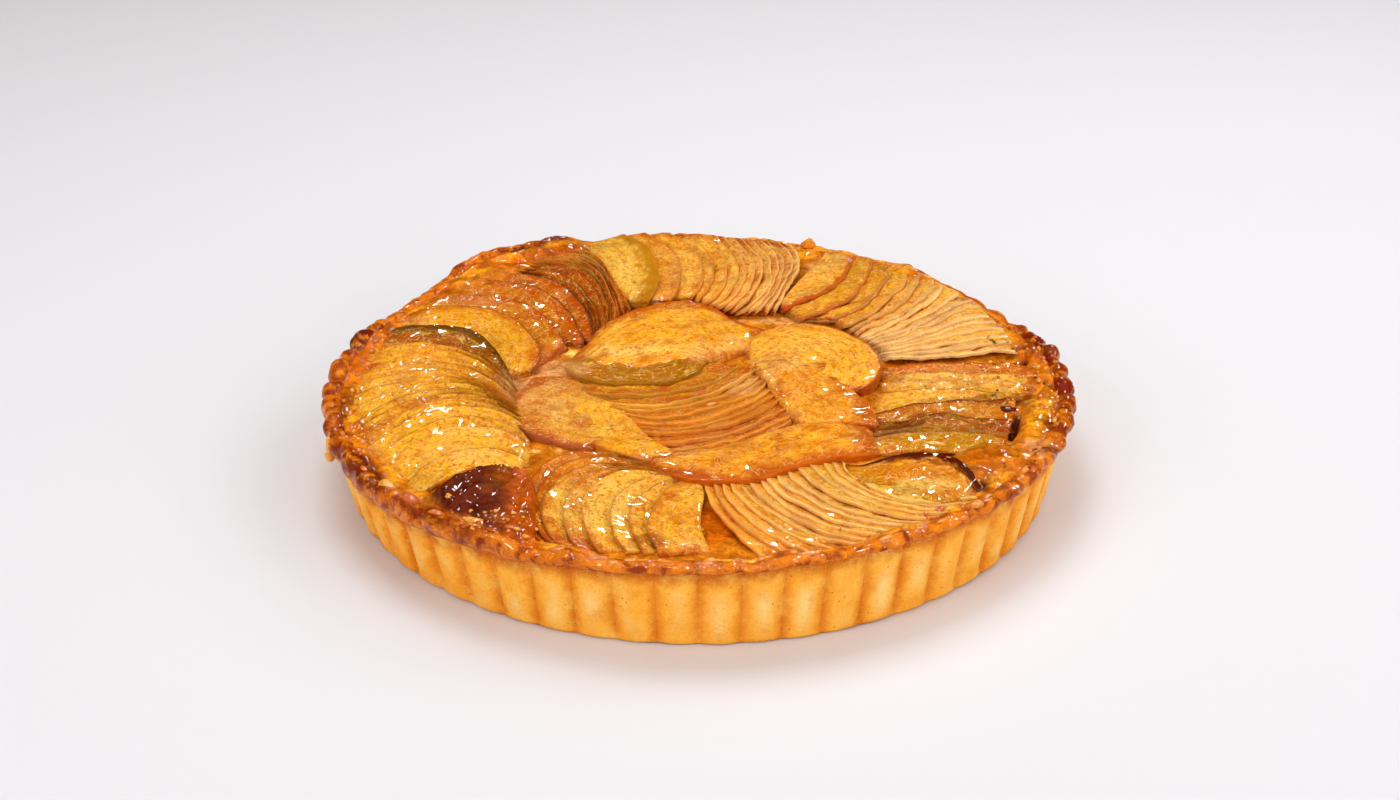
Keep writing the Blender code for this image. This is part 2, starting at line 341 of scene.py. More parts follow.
along = addNode(tree, "ShaderNodeMapping", None,
                {"Scale": (1 / (appleLook["mottle"] * 1.6), 1 / appleLook["mottle"], 1.0),
                 "Vector": uvPlace}).outputs[0]
mottle = addNode(tree, "ShaderNodeTexNoise", None,
                 {"Scale": 1.0, "Detail": 4.0, "Roughness": 0.65, "Distortion": 0.6,
                  "Vector": along}).outputs[0]
across = addNode(tree, "ShaderNodeMapping", None,
                 {"Scale": (1 / (appleLook["fibre"] * 8), 1 / appleLook["fibre"], 1.0),
                  "Vector": uvPlace}).outputs[0]
fibre = addNode(tree, "ShaderNodeTexNoise", None,
                {"Scale": 1.0, "Detail": 3.0, "Roughness": 0.6, "Vector": across}).outputs[0]
filmAndSheen = addNode(tree, "ShaderNodeTexNoise", None,
               {"Scale": 1 / appleLook["filmAndSheen"], "Detail": 4.0, "Roughness": 0.65, "Vector": place}).outputs[0]
threadHighlight = addNode(tree, "ShaderNodeTexNoise", None,
                 {"Scale": 1 / appleLook["threadHighlight"], "Detail": 3.0, "Roughness": 0.6, "Distortion": 1.4,
                  "Vector": place}).outputs[0]
threadHighlight = addNode(tree, "ShaderNodeMath", {"operation": "SUBTRACT"}, {0: threadHighlight, 1: 0.5}).outputs[0]
threadHighlight = addNode(tree, "ShaderNodeMath", {"operation": "ABSOLUTE"}, {0: threadHighlight}).outputs[0]
# paler away from the arc, browner in patches, the toasted line along the arc of the slice's own width
paler = addNode(tree, "ShaderNodeMapRange", None, {0: fromArc, 1: 0.0012, 2: 0.0060}).outputs[0]
paler = addNode(tree, "ShaderNodeMath", {"operation": "MULTIPLY"},
                {0: paler, 1: marks.outputs["Alpha"]}).outputs[0]
browner = addNode(tree, "ShaderNodeMath", {"operation": "ADD"}, {0: patch, 1: browned}).outputs[0]
thin = addNode(tree, "ShaderNodeMath", {"operation": "DIVIDE"},
               {0: edgeWide, 1: appleLook["edgeScale"]}).outputs[0]
uneven = addNode(tree, "ShaderNodeMapRange", None, {0: mottle, 1: 0.20, 2: 0.75, 3: 0.25, 4: 1.8}).outputs[0]
thin = addNode(tree, "ShaderNodeMath", {"operation": "MULTIPLY"}, {0: thin, 1: uneven}).outputs[0]
inside = addNode(tree, "ShaderNodeMath", {"operation": "DIVIDE"}, {0: fromArc, 1: thin}).outputs[0]
charred = addNode(tree, "ShaderNodeMath", {"operation": "SUBTRACT"}, {0: charred, 1: inside}).outputs[0]
tree.links.new(layColors(tree, tint, (
    (paler, 0.0, 1.0, 0.50, "#FFBE34"),
    (mottle, 0.49, 0.65, 0.72, "#D86C06"),
    (mottle, 0.47, 0.30, 0.70, "#FFC43A"),
    (fibre, 0.54, 0.74, 0.34, "#C45804"),
    (fibre, 0.46, 0.28, 0.30, "#FFCE5C"),
    (browner, 0.78, 1.08, 0.85, "#B44604"),
    (speck, 0.54, 0.66, 0.60, "#C85804"),
    (speck, 0.64, 0.76, 0.55, "#A03C04"),
    # milky film: partly the glaze's own, partly painted sheen
    (filmAndSheen, 0.54, 0.70, 0.30, "#F0AC5C"),
    # painted highlights: fine pale threads over the flesh
    (threadHighlight, 0.018, 0.004, 0.55, "#FFC67C"),
    (inside, 1.15, 0.45, 0.90, rim),
    (charred, 0.0, 0.5, 0.85, "#4C1404"),
)), shader.inputs["Base Color"])
ripple = addNode(tree, "ShaderNodeTexNoise", None,
                 {"Scale": 1 / appleLook["ripple"], "Detail": 3.0, "Roughness": 0.5,
                  "Vector": place}).outputs[0]
relief = addNode(tree, "ShaderNodeBump", None,
                 {"Height": ripple, "Strength": 1.0, "Distance": 0.0012}).outputs[0]
relief = addNode(tree, "ShaderNodeBump", None,
                 {"Height": mottle, "Strength": 0.8, "Distance": 0.0014, "Normal": relief}).outputs[0]
tree.links.new(relief, shader.inputs["Normal"])

# almond cream, baked: soft and uneven, orange to brown, glossy where glaze has pooled
creamLook = {"spot": 0.0045, "grit": 0.0009}       # metres: baked spots, ground almond
creamMat, tree, shader = startMaterial("bakedAlmondCream", {
    "Roughness": 0.50, "Specular IOR Level": 0.0, "Coat Weight": 0.8, "Coat Roughness": 0.05,
    "Coat IOR": 1.40,
    "Subsurface Weight": 0.10, "Subsurface Radius": (1.0, 0.4, 0.1), "Subsurface Scale": 0.003})
place = addNode(tree, "ShaderNodeTexCoord").outputs["Object"]
tint = addNode(tree, "ShaderNodeAttribute", {"attribute_name": "tint"}).outputs["Color"]
spot = addNode(tree, "ShaderNodeTexNoise", None,
               {"Scale": 1 / creamLook["spot"], "Detail": 4.0, "Roughness": 0.65, "Distortion": 0.8,
                "Vector": place}).outputs[0]
grit = addNode(tree, "ShaderNodeTexNoise", None,
               {"Scale": 1 / creamLook["grit"], "Detail": 2.0, "Vector": place}).outputs[0]
lighter = addNode(tree, "ShaderNodeHueSaturation", None, {"Value": 1.9, "Color": tint}).outputs[0]
darker = addNode(tree, "ShaderNodeHueSaturation", None,
                 {"Value": 0.42, "Saturation": 1.1, "Color": tint}).outputs[0]
tree.links.new(layColors(tree, tint, (
    (spot, 0.50, 0.66, 0.85, darker),
    (spot, 0.48, 0.30, 0.75, lighter),
    (grit, 0.56, 0.70, 0.45, darker),
)), shader.inputs["Base Color"])
relief = addNode(tree, "ShaderNodeBump", None,
                 {"Height": spot, "Strength": 0.7, "Distance": 0.0011}).outputs[0]
relief = addNode(tree, "ShaderNodeBump", None,
                 {"Height": grit, "Strength": 0.4, "Distance": 0.0003, "Normal": relief}).outputs[0]
tree.links.new(relief, shader.inputs["Normal"])

# shortcrust, baked in a fluted tin: matt, sandy, finely pored; its tint holds a painted highlight on the
# lobes and painted shade in the creases
# metres: browned clouds, grains of the dough, pores
crustLook = {"cloud": 0.008, "sand": 0.0008, "pore": 0.0038}
crustMat, tree, shader = startMaterial("shortcrustWall", {
    "Roughness": 0.70, "Specular IOR Level": 0.1,
    "Subsurface Weight": 0.10, "Subsurface Radius": (1.0, 0.5, 0.2), "Subsurface Scale": 0.003})
place = addNode(tree, "ShaderNodeTexCoord").outputs["Object"]
tint = addNode(tree, "ShaderNodeAttribute", {"attribute_name": "tint"}).outputs["Color"]
cloud = addNode(tree, "ShaderNodeTexNoise", None,
                {"Scale": 1 / crustLook["cloud"], "Detail": 4.0, "Roughness": 0.62,
                 "Vector": place}).outputs[0]
sand = addNode(tree, "ShaderNodeTexNoise", None,
               {"Scale": 1 / crustLook["sand"], "Detail": 3.0, "Roughness": 0.6, "Vector": place}).outputs[0]
pore = addNode(tree, "ShaderNodeTexVoronoi", None,
               {"Scale": 1 / crustLook["pore"], "Randomness": 1.0, "Vector": place}).outputs["Distance"]
tree.links.new(layColors(tree, tint, (
    (cloud, 0.48, 0.68, 0.60, "#FFC85A"),
    (cloud, 0.46, 0.30, 0.45, "#E68A1C"),
    (sand, 0.52, 0.74, 0.30, "#C06C12"),
    (sand, 0.46, 0.28, 0.30, "#FFD06A"),
    (pore, 0.11, 0.04, 0.80, "#9C4A0A"),
)), shader.inputs["Base Color"])
relief = addNode(tree, "ShaderNodeBump", None,
                 {"Height": sand, "Strength": 0.6, "Distance": 0.0003}).outputs[0]
relief = addNode(tree, "ShaderNodeBump", None,
                 {"Height": pore, "Strength": 0.25, "Distance": 0.0004, "Normal": relief}).outputs[0]
tree.links.new(relief, shader.inputs["Normal"])

# the crust's lip: the same dough, browned and brushed with glaze
lipLook = {"toast": 0.005, "grit": 0.0011}       # metres: toasted patches, grains of the dough
lipMat, tree, shader = startMaterial("shortcrustLipGlazed", {
    "Roughness": 0.50, "Specular IOR Level": 0.0, "Coat Weight": 0.8, "Coat Roughness": 0.05,
    "Coat IOR": 1.38})
place = addNode(tree, "ShaderNodeTexCoord").outputs["Object"]
tint = addNode(tree, "ShaderNodeAttribute", {"attribute_name": "tint"}).outputs["Color"]
toast = addNode(tree, "ShaderNodeTexNoise", None,
                {"Scale": 1 / lipLook["toast"], "Detail": 4.0, "Roughness": 0.65, "Distortion": 0.5,
                 "Vector": place}).outputs[0]
grit = addNode(tree, "ShaderNodeTexNoise", None,
               {"Scale": 1 / lipLook["grit"], "Detail": 3.0, "Vector": place}).outputs[0]
tree.links.new(layColors(tree, tint, (
    (toast, 0.51, 0.62, 0.85, "#801E02"),
    (toast, 0.49, 0.34, 0.85, "#F48A10"),
    (grit, 0.56, 0.75, 0.40, "#6A1C02"),
)), shader.inputs["Base Color"])
relief = addNode(tree, "ShaderNodeBump", None,
                 {"Height": toast, "Strength": 0.9, "Distance": 0.0016}).outputs[0]
relief = addNode(tree, "ShaderNodeBump", None,
                 {"Height": grit, "Strength": 0.5, "Distance": 0.0005, "Normal": relief}).outputs[0]
tree.links.new(relief, shader.inputs["Normal"])

# apricot glaze, set in thick beads: amber, opaque enough to hide what lies below, very smooth
glazeLook = {"swirl": 0.002}       # metres: deeper swirls in a bead
glazeMat, tree, shader = startMaterial("apricotGlazeSet", {
    "Roughness": 0.30, "Coat Weight": 1.0, "Coat Roughness": 0.03,
    "Subsurface Weight": 0.15, "Subsurface Radius": (1.0, 0.35, 0.05), "Subsurface Scale": 0.002})
place = addNode(tree, "ShaderNodeTexCoord").outputs["Object"]
tint = addNode(tree, "ShaderNodeAttribute", {"attribute_name": "tint"}).outputs["Color"]
swirl = addNode(tree, "ShaderNodeTexNoise", None,
                {"Scale": 1 / glazeLook["swirl"], "Detail": 2.0, "Vector": place}).outputs[0]
tree.links.new(layColors(tree, tint, (
    (swirl, 0.52, 0.72, 0.50, "#8A3204"),
)), shader.inputs["Base Color"])
print("materials made")


# plan places are given at this level, sighted from the camera's place
planLevel = 0.033
sightFrom = np.array([0.0, -0.7080, 0.3875])

# marks left by the oven and the glaze, the milky ones partly painted sheen, on whatever piece lies there:
# colour, then the spots in millimetres, as x, y, half length, half width, turn in degrees, strength
stains = {
    "caramel": ("#CC5C04", (
        (-68, 116, 26, 7, 32, 0.8), (-58, 96, 16, 9, -50, 0.5), (-62, 18, 5, 12, 0, 0.7),
        (-58, -112, 6, 18, 10, 0.85), (-4, -110, 6, 14, 25, 0.7), (5, -108, 9, 13, 20, 0.8),
        (46, -12, 9, 13, 20, 0.6), (66, -58, 8, 7, 0, 0.5), (8, -72, 26, 6, 15, 0.45),
        (-20, -38, 26, 9, 10, 0.5), (-2, -28, 26, 12, 24, 0.4), (-14, -48, 30, 5, 8, 0.5),
        (-22, 60, 18, 4, 40, 0.7), (8, 60, 14, 3.5, -40, 0.8), (82, 10, 16, 4, 10, 0.8),
        (106, -66, 14, 9, -40, 0.6), (-128, 20, 6, 22, 0, 0.5), (-118, -62, 7, 20, 25, 0.5),
        (-12, 64, 12, 6, -20, 0.6), (128, 10, 5, 24, 0, 0.6), (-64, -50, 5, 8, 20, 0.6))),
    # milky patches: partly the glaze's film, partly painted sheen
    "milkyAndSheen": ("#E2A468", (
        (-69, -10, 6, 18, 22, 0.8), (-50, 6, 10, 9, 0, 0.6), (2, 22, 10, 9, -20, 0.75),
        (12, 30, 6, 8, 0, 0.5), (20, -6, 14, 9, 35, 0.85), (-58, -8, 11, 8, 0, 0.9),
        (-54, -24, 9, 14, 30, 0.8), (-30, 20, 18, 4, 4, 0.6), (31, 13, 11, 8, -20, 0.8),
        (70, 28, 4, 16, 0, 0.6), (40, 50, 26, 3.5, 0, 0.6), (-112, 50, 9, 4, -10, 0.6),
        (58, -45, 5, 12, 0, 0.5), (122, -56, 9, 6, -60, 0.6), (-12, -62, 14, 5, 15, 0.5),
        (6, -48, 24, 3, 32, 0.5), (96, 52, 20, 12, 50, 0.35), (-60, 6, 5, 10, 0, 0.4),
        (-88, 70, 12, 2.5, 0, 0.4), (110, 26, 12, 5, 0, 0.4), (52, 104, 10, 6, 40, 0.45))),
    "pale": ("#FFCF6C", (
        (-36, -96, 15, 20, 0, 0.5), (-30, 96, 5, 17, 8, 0.8), (78, -82, 14, 6, 5, 0.6),
        (-4, 100, 10, 26, 0, 0.35), (-84, -44, 16, 5, 0, 0.4), (-27, 22, 27, 6, 6, 1.0),
        (100, -6, 22, 3, 2, 0.5), (-78, -62, 10, 5, 10, 0.6), (46, -86, 16, 8, -40, 0.3),
        (44, 30, 14, 10, 0, 0.4), (-8, 64, 4, 6, 0, 0.4), (-32, -42, 5, 6, 0, 0.4))),
    "olive": ("#A87404", (
        (-42, 130, 12, 6, -10, 0.8), (-22, 102, 4, 24, 8, 0.6), (60, 88, 6, 20, -32, 0.45),
        (-95, -80, 7, 8, 0, 0.7), (84, -51, 24, 6, 0, 0.7), (-80, 34, 4, 14, 30, 0.5),
        (-40, 66, 3, 12, 20, 0.4))),
    "burnt": ("#5C1604", (
        (-62, 137, 9, 4, 15, 0.95), (-77, 124, 7, 2.5, 35, 0.9), (96, -19, 17, 2.6, 4, 0.85),
        (114, -21, 9, 4, 0, 0.9), (84, -31, 12, 2.2, 10, 0.8), (110, -39, 6, 5, 0, 0.9),
        (62, -31, 3, 3, 0, 0.9), (-42, 88, 2.5, 14, 8, 0.3), (-14, -119, 9, 4, 0, 0.7),
        (126, -60, 7, 4, -60, 0.7), (97, -84, 3, 6, 15, 0.8), (-53, 60, 2, 14, 12, 0.3),
        (22, 6, 2.2, 3.4, 0, 0.95), (2, -15, 16, 1.6, 26, 0.6), (-6, -33, 14, 1.6, 20, 0.5),
        (60, 66, 9, 1.2, 25, 0.7), (33, 63, 1.6, 9, -25, 0.7), (-134, 33, 5, 12, 0, 0.9),
        (46, 78, 7, 2, 35, 0.5), (-100, 90, 8, 2, 30, 0.5), (-116, -74, 6, 20, 32, 0.75),
        (-92, -102, 12, 5, -45, 0.7), (-130, -22, 4, 14, 0, 0.6), (132, 24, 4, 14, 10, 0.6),
        (130, -40, 5, 8, 0, 0.5), (70, -38, 10, 2.5, 0, 0.6), (-46, 70, 2, 12, 15, 0.3),
        (-75, 88, 14, 1.6, 5, 0.5))),
}


def insideBy(x, y, outline):
    # how far inside a closed outline in plan millimetres, in metres, negative outside
    place = np.stack([x, y], 1) * 1000
    near = np.full(len(x), 1e9)
    inside = np.zeros(len(x), dtype=bool)
    for (x0, y0), (x1, y1) in zip(outline, outline[1:] + outline[:1]):
        edge, away = np.array([x1 - x0, y1 - y0]), place - np.array([x0, y0])
        t = np.clip(away @ edge / (edge @ edge), 0, 1)
        near = np.minimum(near, np.linalg.norm(away - t[:, None] * edge, axis=1))
        crossing = x0 + (place[:, 1] - y0) * (x1 - x0) / (y1 - y0 + 1e-9)
        inside ^= ((y0 > place[:, 1]) != (y1 > place[:, 1])) & (place[:, 0] < crossing)
    return np.where(inside, near, -near) / 1000


def stained(color, x, y, z):
    # lays the marks over a colour; x and y are taken back to plan level along the line of sight
    share = (sightFrom[2] - planLevel) / (sightFrom[2] - z)
    x, y = sightFrom[0] + (x - sightFrom[0]) * share, sightFrom[1] + (y - sightFrom[1]) * share
    broken = 0.55 * lumps(np.stack([x, y, np.zeros(len(x))], 1), 0.0055, 81, 3)
    for hexCode, spots in stains.values():
        for cx, cy, halfX, halfY, turn, strength in spots:
            a = math.radians(turn)
            dx, dy = x * 1000 - cx, y * 1000 - cy
            u = (dx * math.cos(a) + dy * math.sin(a)) / halfX
            v = (dy * math.cos(a) - dx * math.sin(a)) / halfY
            near = np.clip(1.15 - u * u - v * v + broken, 0, 1.15)
            part = (strength * smooth(0.0, 0.7, near))[:, None]
            color = mixed(color, hexCode, part)
    return color


# crust
crust = {
    "flutes": 60,
    "columns": 720,
    "baseRadius": 0.1332,
    "wallRadius": 0.1382,
    "lipRadius": 0.1384,
    "fluteDepth": 0.0023,
    # heights before carving: the wall's foot and top, the lip's crown
    "wallFoot": 0.0020, "wallTop": 0.0262, "lipCrown": 0.0311,
    # lower edge, top and overhang of the lip by angle
    "lipFoot": ((10, 0.0290), (30, 0.0300), (60, 0.0310), (120, 0.0310), (150, 0.0280), (180, 0.0265),
                (205, 0.0240), (215, 0.0243), (225, 0.0258), (235, 0.0270), (245, 0.0278), (253, 0.0297),
                (266, 0.0308), (285, 0.0322), (304, 0.0314), (320, 0.0306), (345, 0.0286)),
    "lipTop": ((0, 0.0343), (10, 0.0338), (18, 0.0318), (30, 0.0304), (45, 0.0306), (52, 0.0322),
               (60, 0.0314), (75, 0.0324), (100, 0.0328), (110, 0.0336), (122, 0.0350), (135, 0.0350),
               (145, 0.0318), (155, 0.0308), (165, 0.0328), (190, 0.0338), (210, 0.0338), (250, 0.0340),
               (290, 0.0346), (330, 0.0342)),
    "overhang": ((8, 0.0018), (18, 0.0006), (30, 0.0), (60, 0.0), (120, 0.0), (145, 0.0012), (165, 0.0024),
                 (215, 0.0020), (240, 0.0006), (255, 0.0), (310, 0.0), (335, 0.0016), (355, 0.0020)),
    # how far the flutes run on into the lip
    "scallops": ((0, 1.0), (20, 0.8), (35, 0.2), (60, 0.0), (130, 0.0), (150, 0.15), (162, 0.9), (200, 1.0),
                 (214, 0.5), (235, 0.2), (310, 0.2), (335, 0.5)),
    # swellings of the lip: angle, half width, extra height, extra radius
    "swells": (
        (118.0, 9.0, 0.0072, 0.0012),
        (131.0, 14.0, 0.0062, 0.0014),
        (163.0, 5.5, 0.0020, 0.0002),
        (148.0, 8.0, 0.0010, -0.0010),
        (50.0, 7.0, 0.0016, 0.0),
        (31.0, 16.0, -0.0020, -0.0016),
        (9.0, 9.0, 0.0020, 0.0006),
        (352.0, 12.0, 0.0012, 0.0006),
        (330.0, 10.0, 0.0016, 0.0),
        (236.0, 9.0, 0.0012, 0.0),
    ),
    # how dark the lip is baked: angle, half width, darkness
    "bakes": (
        (163.0, 8.0, 1.0), (180.0, 16.0, 0.35), (207.0, 18.0, 0.80), (236.0, 12.0, 0.7), (117.0, 6.0, 0.8),
        (0.0, 9.0, 0.7), (12.0, 14.0, 1.0), (350.0, 14.0, 0.8), (322.0, 10.0, 0.6),
    ),
    # lobeHighlight is a painted highlight; crease and underLipShade are painted shade
    "wall": "#FFAE36", "lobeHighlight": "#FFD886", "crease": "#D06C0A", "underLipShade": "#B84A06",
    "scorched": "#C06410",
    "sideShade": (0.92, 0.68, 0.28),        # what the browner sides keep of the wall's colour
    "lip": "#D8700E", "bakedLip": "#7A2206", "backLip": "#F2A83C",
}


def swollen(angle, column):
    return sum(item[column] * bumpAt(angle, item[0], item[1]) for item in crust["swells"])


def lipHeight(angle):
    a = np.radians(angle)
    wavy = 0.0005 * np.sin(23 * a + 0.7) + 0.0004 * np.sin(37 * a + 2.1)
    return around(angle, crust["lipTop"]) + 0.7 * swollen(angle, 2) + wavy


# profile rings before carving: radius and height, from the underside round to the inner floor
profile = [(0.020, 0.0), (0.090, 0.0), (0.1300, 0.0), (0.1322, 0.0004), (0.1330, 0.0012)]
wallWide, wallTall = crust["wallRadius"] - crust["baseRadius"], crust["wallTop"] - crust["wallFoot"]
profile += [(crust["baseRadius"] + wallWide * t, crust["wallFoot"] + wallTall * t)
            for t in np.linspace(0, 1, 26)]
lipStart = len(profile)
profile += [(crust["lipRadius"] + 0.0010 * math.sin(t * math.pi), crust["wallTop"] + 0.0040 * t)
            for t in np.linspace(0.08, 1, 11)]
profile += [(crust["lipRadius"] - 0.0020 * t, 0.0302 + 0.0010 * math.sin(t * math.pi / 2))
            for t in np.linspace(0.12, 1, 6)]
profile += [(0.1362 - 0.0026 * t, crust["lipCrown"] - 0.0014 * t * t) for t in np.linspace(0.15, 1, 6)]
lipEnd = len(profile)
profile += [(0.1330, 0.0270), (0.1318, 0.0220), (0.1290, 0.0130), (0.1262, 0.0052)]
nothingSelected()
bpy.ops.mesh.primitive_circle_add(vertices=crust["columns"], radius=profile[0][0], fill_type="NOTHING")
shell = bpy.context.object
bpy.ops.object.mode_set(mode="EDIT")
bpy.ops.mesh.select_all(action="SELECT")
bpy.ops.mesh.edge_face_add()
for (r0, z0), (r1, z1) in zip(profile, profile[1:]):
    bpy.ops.mesh.extrude_edges_move(TRANSFORM_OT_translate={"value": (0.0, 0.0, z1 - z0)})
    bpy.ops.transform.resize(value=(r1 / r0, r1 / r0, 1.0), center_override=(0.0, 0.0, z1))
bpy.ops.mesh.edge_face_add()
bpy.ops.object.mode_set(mode="OBJECT")
points = readPoints(shell.data)
radius = np.hypot(points[:, 0], points[:, 1])
angle = np.degrees(np.arctan2(points[:, 1], points[:, 0])) % 360.0
ringOf = np.array(profile)
awayFromRing = (radius[:, None] - ringOf[None, :, 0]) ** 2 + (points[:, 2:3] - ringOf[None, :, 1]) ** 2
row = np.argmin(awayFromRing, axis=1)
wallRow, lipRow = (row >= 3) & (row < lipStart), (row >= lipStart) & (row < lipEnd)
height = points[:, 2].copy()
share = (angle * crust["flutes"] / 360.0) % 1.0
crease = np.abs(2 * share - 1)                     # 1 at a crease, 0 on a lobe's crest
flat3 = np.stack([points[:, 0], points[:, 1], np.zeros(len(points))], 1)
depth = np.where(wallRow, smooth(0.0, 0.003, height) * 0.75 + 0.25, 0.0)
lipShare = np.clip((row - lipStart) / (lipEnd - lipStart - 1), 0, 1)
sideways = around(angle, crust["scallops"])
depth = np.where(lipRow, (1 - smooth(0.2, 0.95, lipShare)) * (0.15 + 0.95 * sideways), depth)
radius = radius - crust["fluteDepth"] * depth * crease ** 2.2
wobble = lumps(flat3 + np.array([0, 0, 1]) * height[:, None], 0.009, 3, 2)
radius += np.where(wallRow, 0.00022 * wobble, 0.0)
radius += np.where(wallRow, 0.00010 * lumps(points, 0.0018, 5, 2), 0.0)
# the lip: between its foot and its top, knobs and dips in two sizes, scalloped at the left and right
foot, crest = around(angle, crust["lipFoot"]), lipHeight(angle)
knob = lumps(points * np.array([1, 1, 0.4]), 0.0060, 11, 3)
fine = lumps(points, 0.0022, 12, 3)
foot = foot + 0.0009 * lumps(flat3, 0.009, 17, 3)
rising = np.clip((height - crust["wallTop"]) / (crust["lipCrown"] - crust["wallTop"]), 0, 1.2)
stretched = crust["wallFoot"] + (height - crust["wallFoot"]) * (foot - crust["wallFoot"]) / wallTall
height = np.where(wallRow & (height > crust["wallFoot"]), stretched, height)
body = np.sin(np.clip(lipShare / 0.8, 0, 1) * math.pi) ** 0.5
uneven = 0.0010 * knob + 0.0004 * fine + 0.0006 * (1 - 2 * crease) * sideways
height = np.where(lipRow, foot + (crest - foot) * rising + uneven * smooth(0, 0.35, lipShare), height)
uneven = 0.0009 * knob + 0.0005 * fine + 0.0003 * np.sin(np.radians(angle) * 29 + 1.1)
outward = (around(angle, crust["overhang"]) + uneven) * body + swollen(angle, 3)
radius += np.where(lipRow, outward, 0.0)
innerRow = (row >= lipEnd) & (row < lipEnd + 2)
height = np.where(innerRow, height + (crest - crust["lipCrown"]) * 0.8, height)
points = np.stack([radius * np.cos(np.radians(angle)), radius * np.sin(np.radians(angle)), height], 1)
writePoints(shell.data, points)
nothingSelected()
shell.select_set(True)
bpy.context.view_layer.objects.active = shell
bpy.ops.object.mode_set(mode="EDIT")
bpy.ops.mesh.select_all(action="SELECT")
bpy.ops.mesh.normals_make_consistent(inside=False)
bpy.ops.object.mode_set(mode="OBJECT")
# colours: wall, creases, lip
lobe = 1 - crease
wallColor = hexRow(crust["wall"])[None, :] * np.ones((len(points), 1))
upWall = np.clip(points[:, 2] / 0.029, 0, 1)
aroundWall = np.degrees(np.arctan2(points[:, 1], points[:, 0])) * 0.0024
drift = lumps(np.stack([aroundWall, upWall * 0.02, np.zeros(len(points))], 1), 0.011, 21, 2)
midWall = smooth(0.0, 0.35, upWall) * smooth(1.0, 0.55, upWall)
# painted highlight: each lobe is lighter in its middle, as if lit on its curve
pale = (smooth(0.30, 0.95, lobe) * smooth(-0.45, 0.5, drift) * midWall)[:, None]
wallColor = mixed(wallColor, crust["lobeHighlight"], 0.9 * pale)
# painted shade: the wall darkens into each crease between the flutes
dark = (smooth(0.45, 1.0, crease) * (0.8 + 0.5 * drift))[:, None]
wallColor = wallColor * (1 - 0.80 * dark) + hexRow(crust["crease"]) * 0.90 * dark
# painted shade: the wall darkens just under the lip's foot
under = (smooth(-0.0068, 0.0, points[:, 2] - foot + 0.0020 * knob))[:, None]
wallColor = mixed(wallColor, crust["underLipShade"], 0.85 * under)
scorched = (smooth(0.10, 0.0, upWall) * smoothBand(flat3, 0.014, 22, 2, -0.4, 0.5))[:, None]
wallColor = mixed(wallColor, crust["scorched"], 0.6 * scorched)
browner = (0.55 * np.maximum(bumpAt(angle, 215, 34), 0.8 * bumpAt(angle, 335, 28)) ** 0.6)[:, None]
wallColor = wallColor * (1 - browner) + wallColor * np.array(crust["sideShade"]) * browner
bake = np.clip(sum(item[2] * bumpAt(angle, item[0], item[1]) for item in crust["bakes"]), 0, 1)
bake = np.clip(bake + 0.45 * lumps(flat3, 0.012, 31, 2), 0, 1)[:, None]
lipColor = mixed(hexRow(crust["lip"]), crust["bakedLip"], bake)
atBack = np.maximum(bumpAt(angle, 80, 36), bumpAt(angle, 45, 14))[:, None] ** 0.5
lipColor = mixed(lipColor, crust["backLip"], 0.8 * atBack)
onLip = smooth(0.0, 0.12, lipShare)[:, None] * lipRow[:, None]
lipColor = stained(lipColor, points[:, 0], points[:, 1], points[:, 2])
paint(shell.data, "tint", wallColor * (1 - onLip) + lipColor * onLip)
shell.data.materials.append(crustMat)
shell.data.materials.append(lipMat)
centres = np.empty(len(shell.data.polygons) * 3)
shell.data.polygons.foreach_get("center", centres)
centres = centres.reshape(-1, 3)
faceAngle = np.degrees(np.arctan2(centres[:, 1], centres[:, 0]))
edgeLine = around(faceAngle, crust["lipFoot"]) + 0.0009 * lumps(centres * np.array([1, 1, 0]), 0.009, 17, 3)
edgeLine += 0.0004 * lumps(centres, 0.003, 41, 2) + 0.0002
outside = np.hypot(centres[:, 0], centres[:, 1]) > 0.1310
isLip = ((centres[:, 2] > edgeLine) & outside).astype(np.int32)
shell.data.polygons.foreach_set("material_index", isLip)
shell.name = "crustShell"
shell.data.name = "crustShell"
smoothShade(shell, 60)
settle(shell, "crust")
print("crust shell made:", len(shell.data.polygons), "faces")


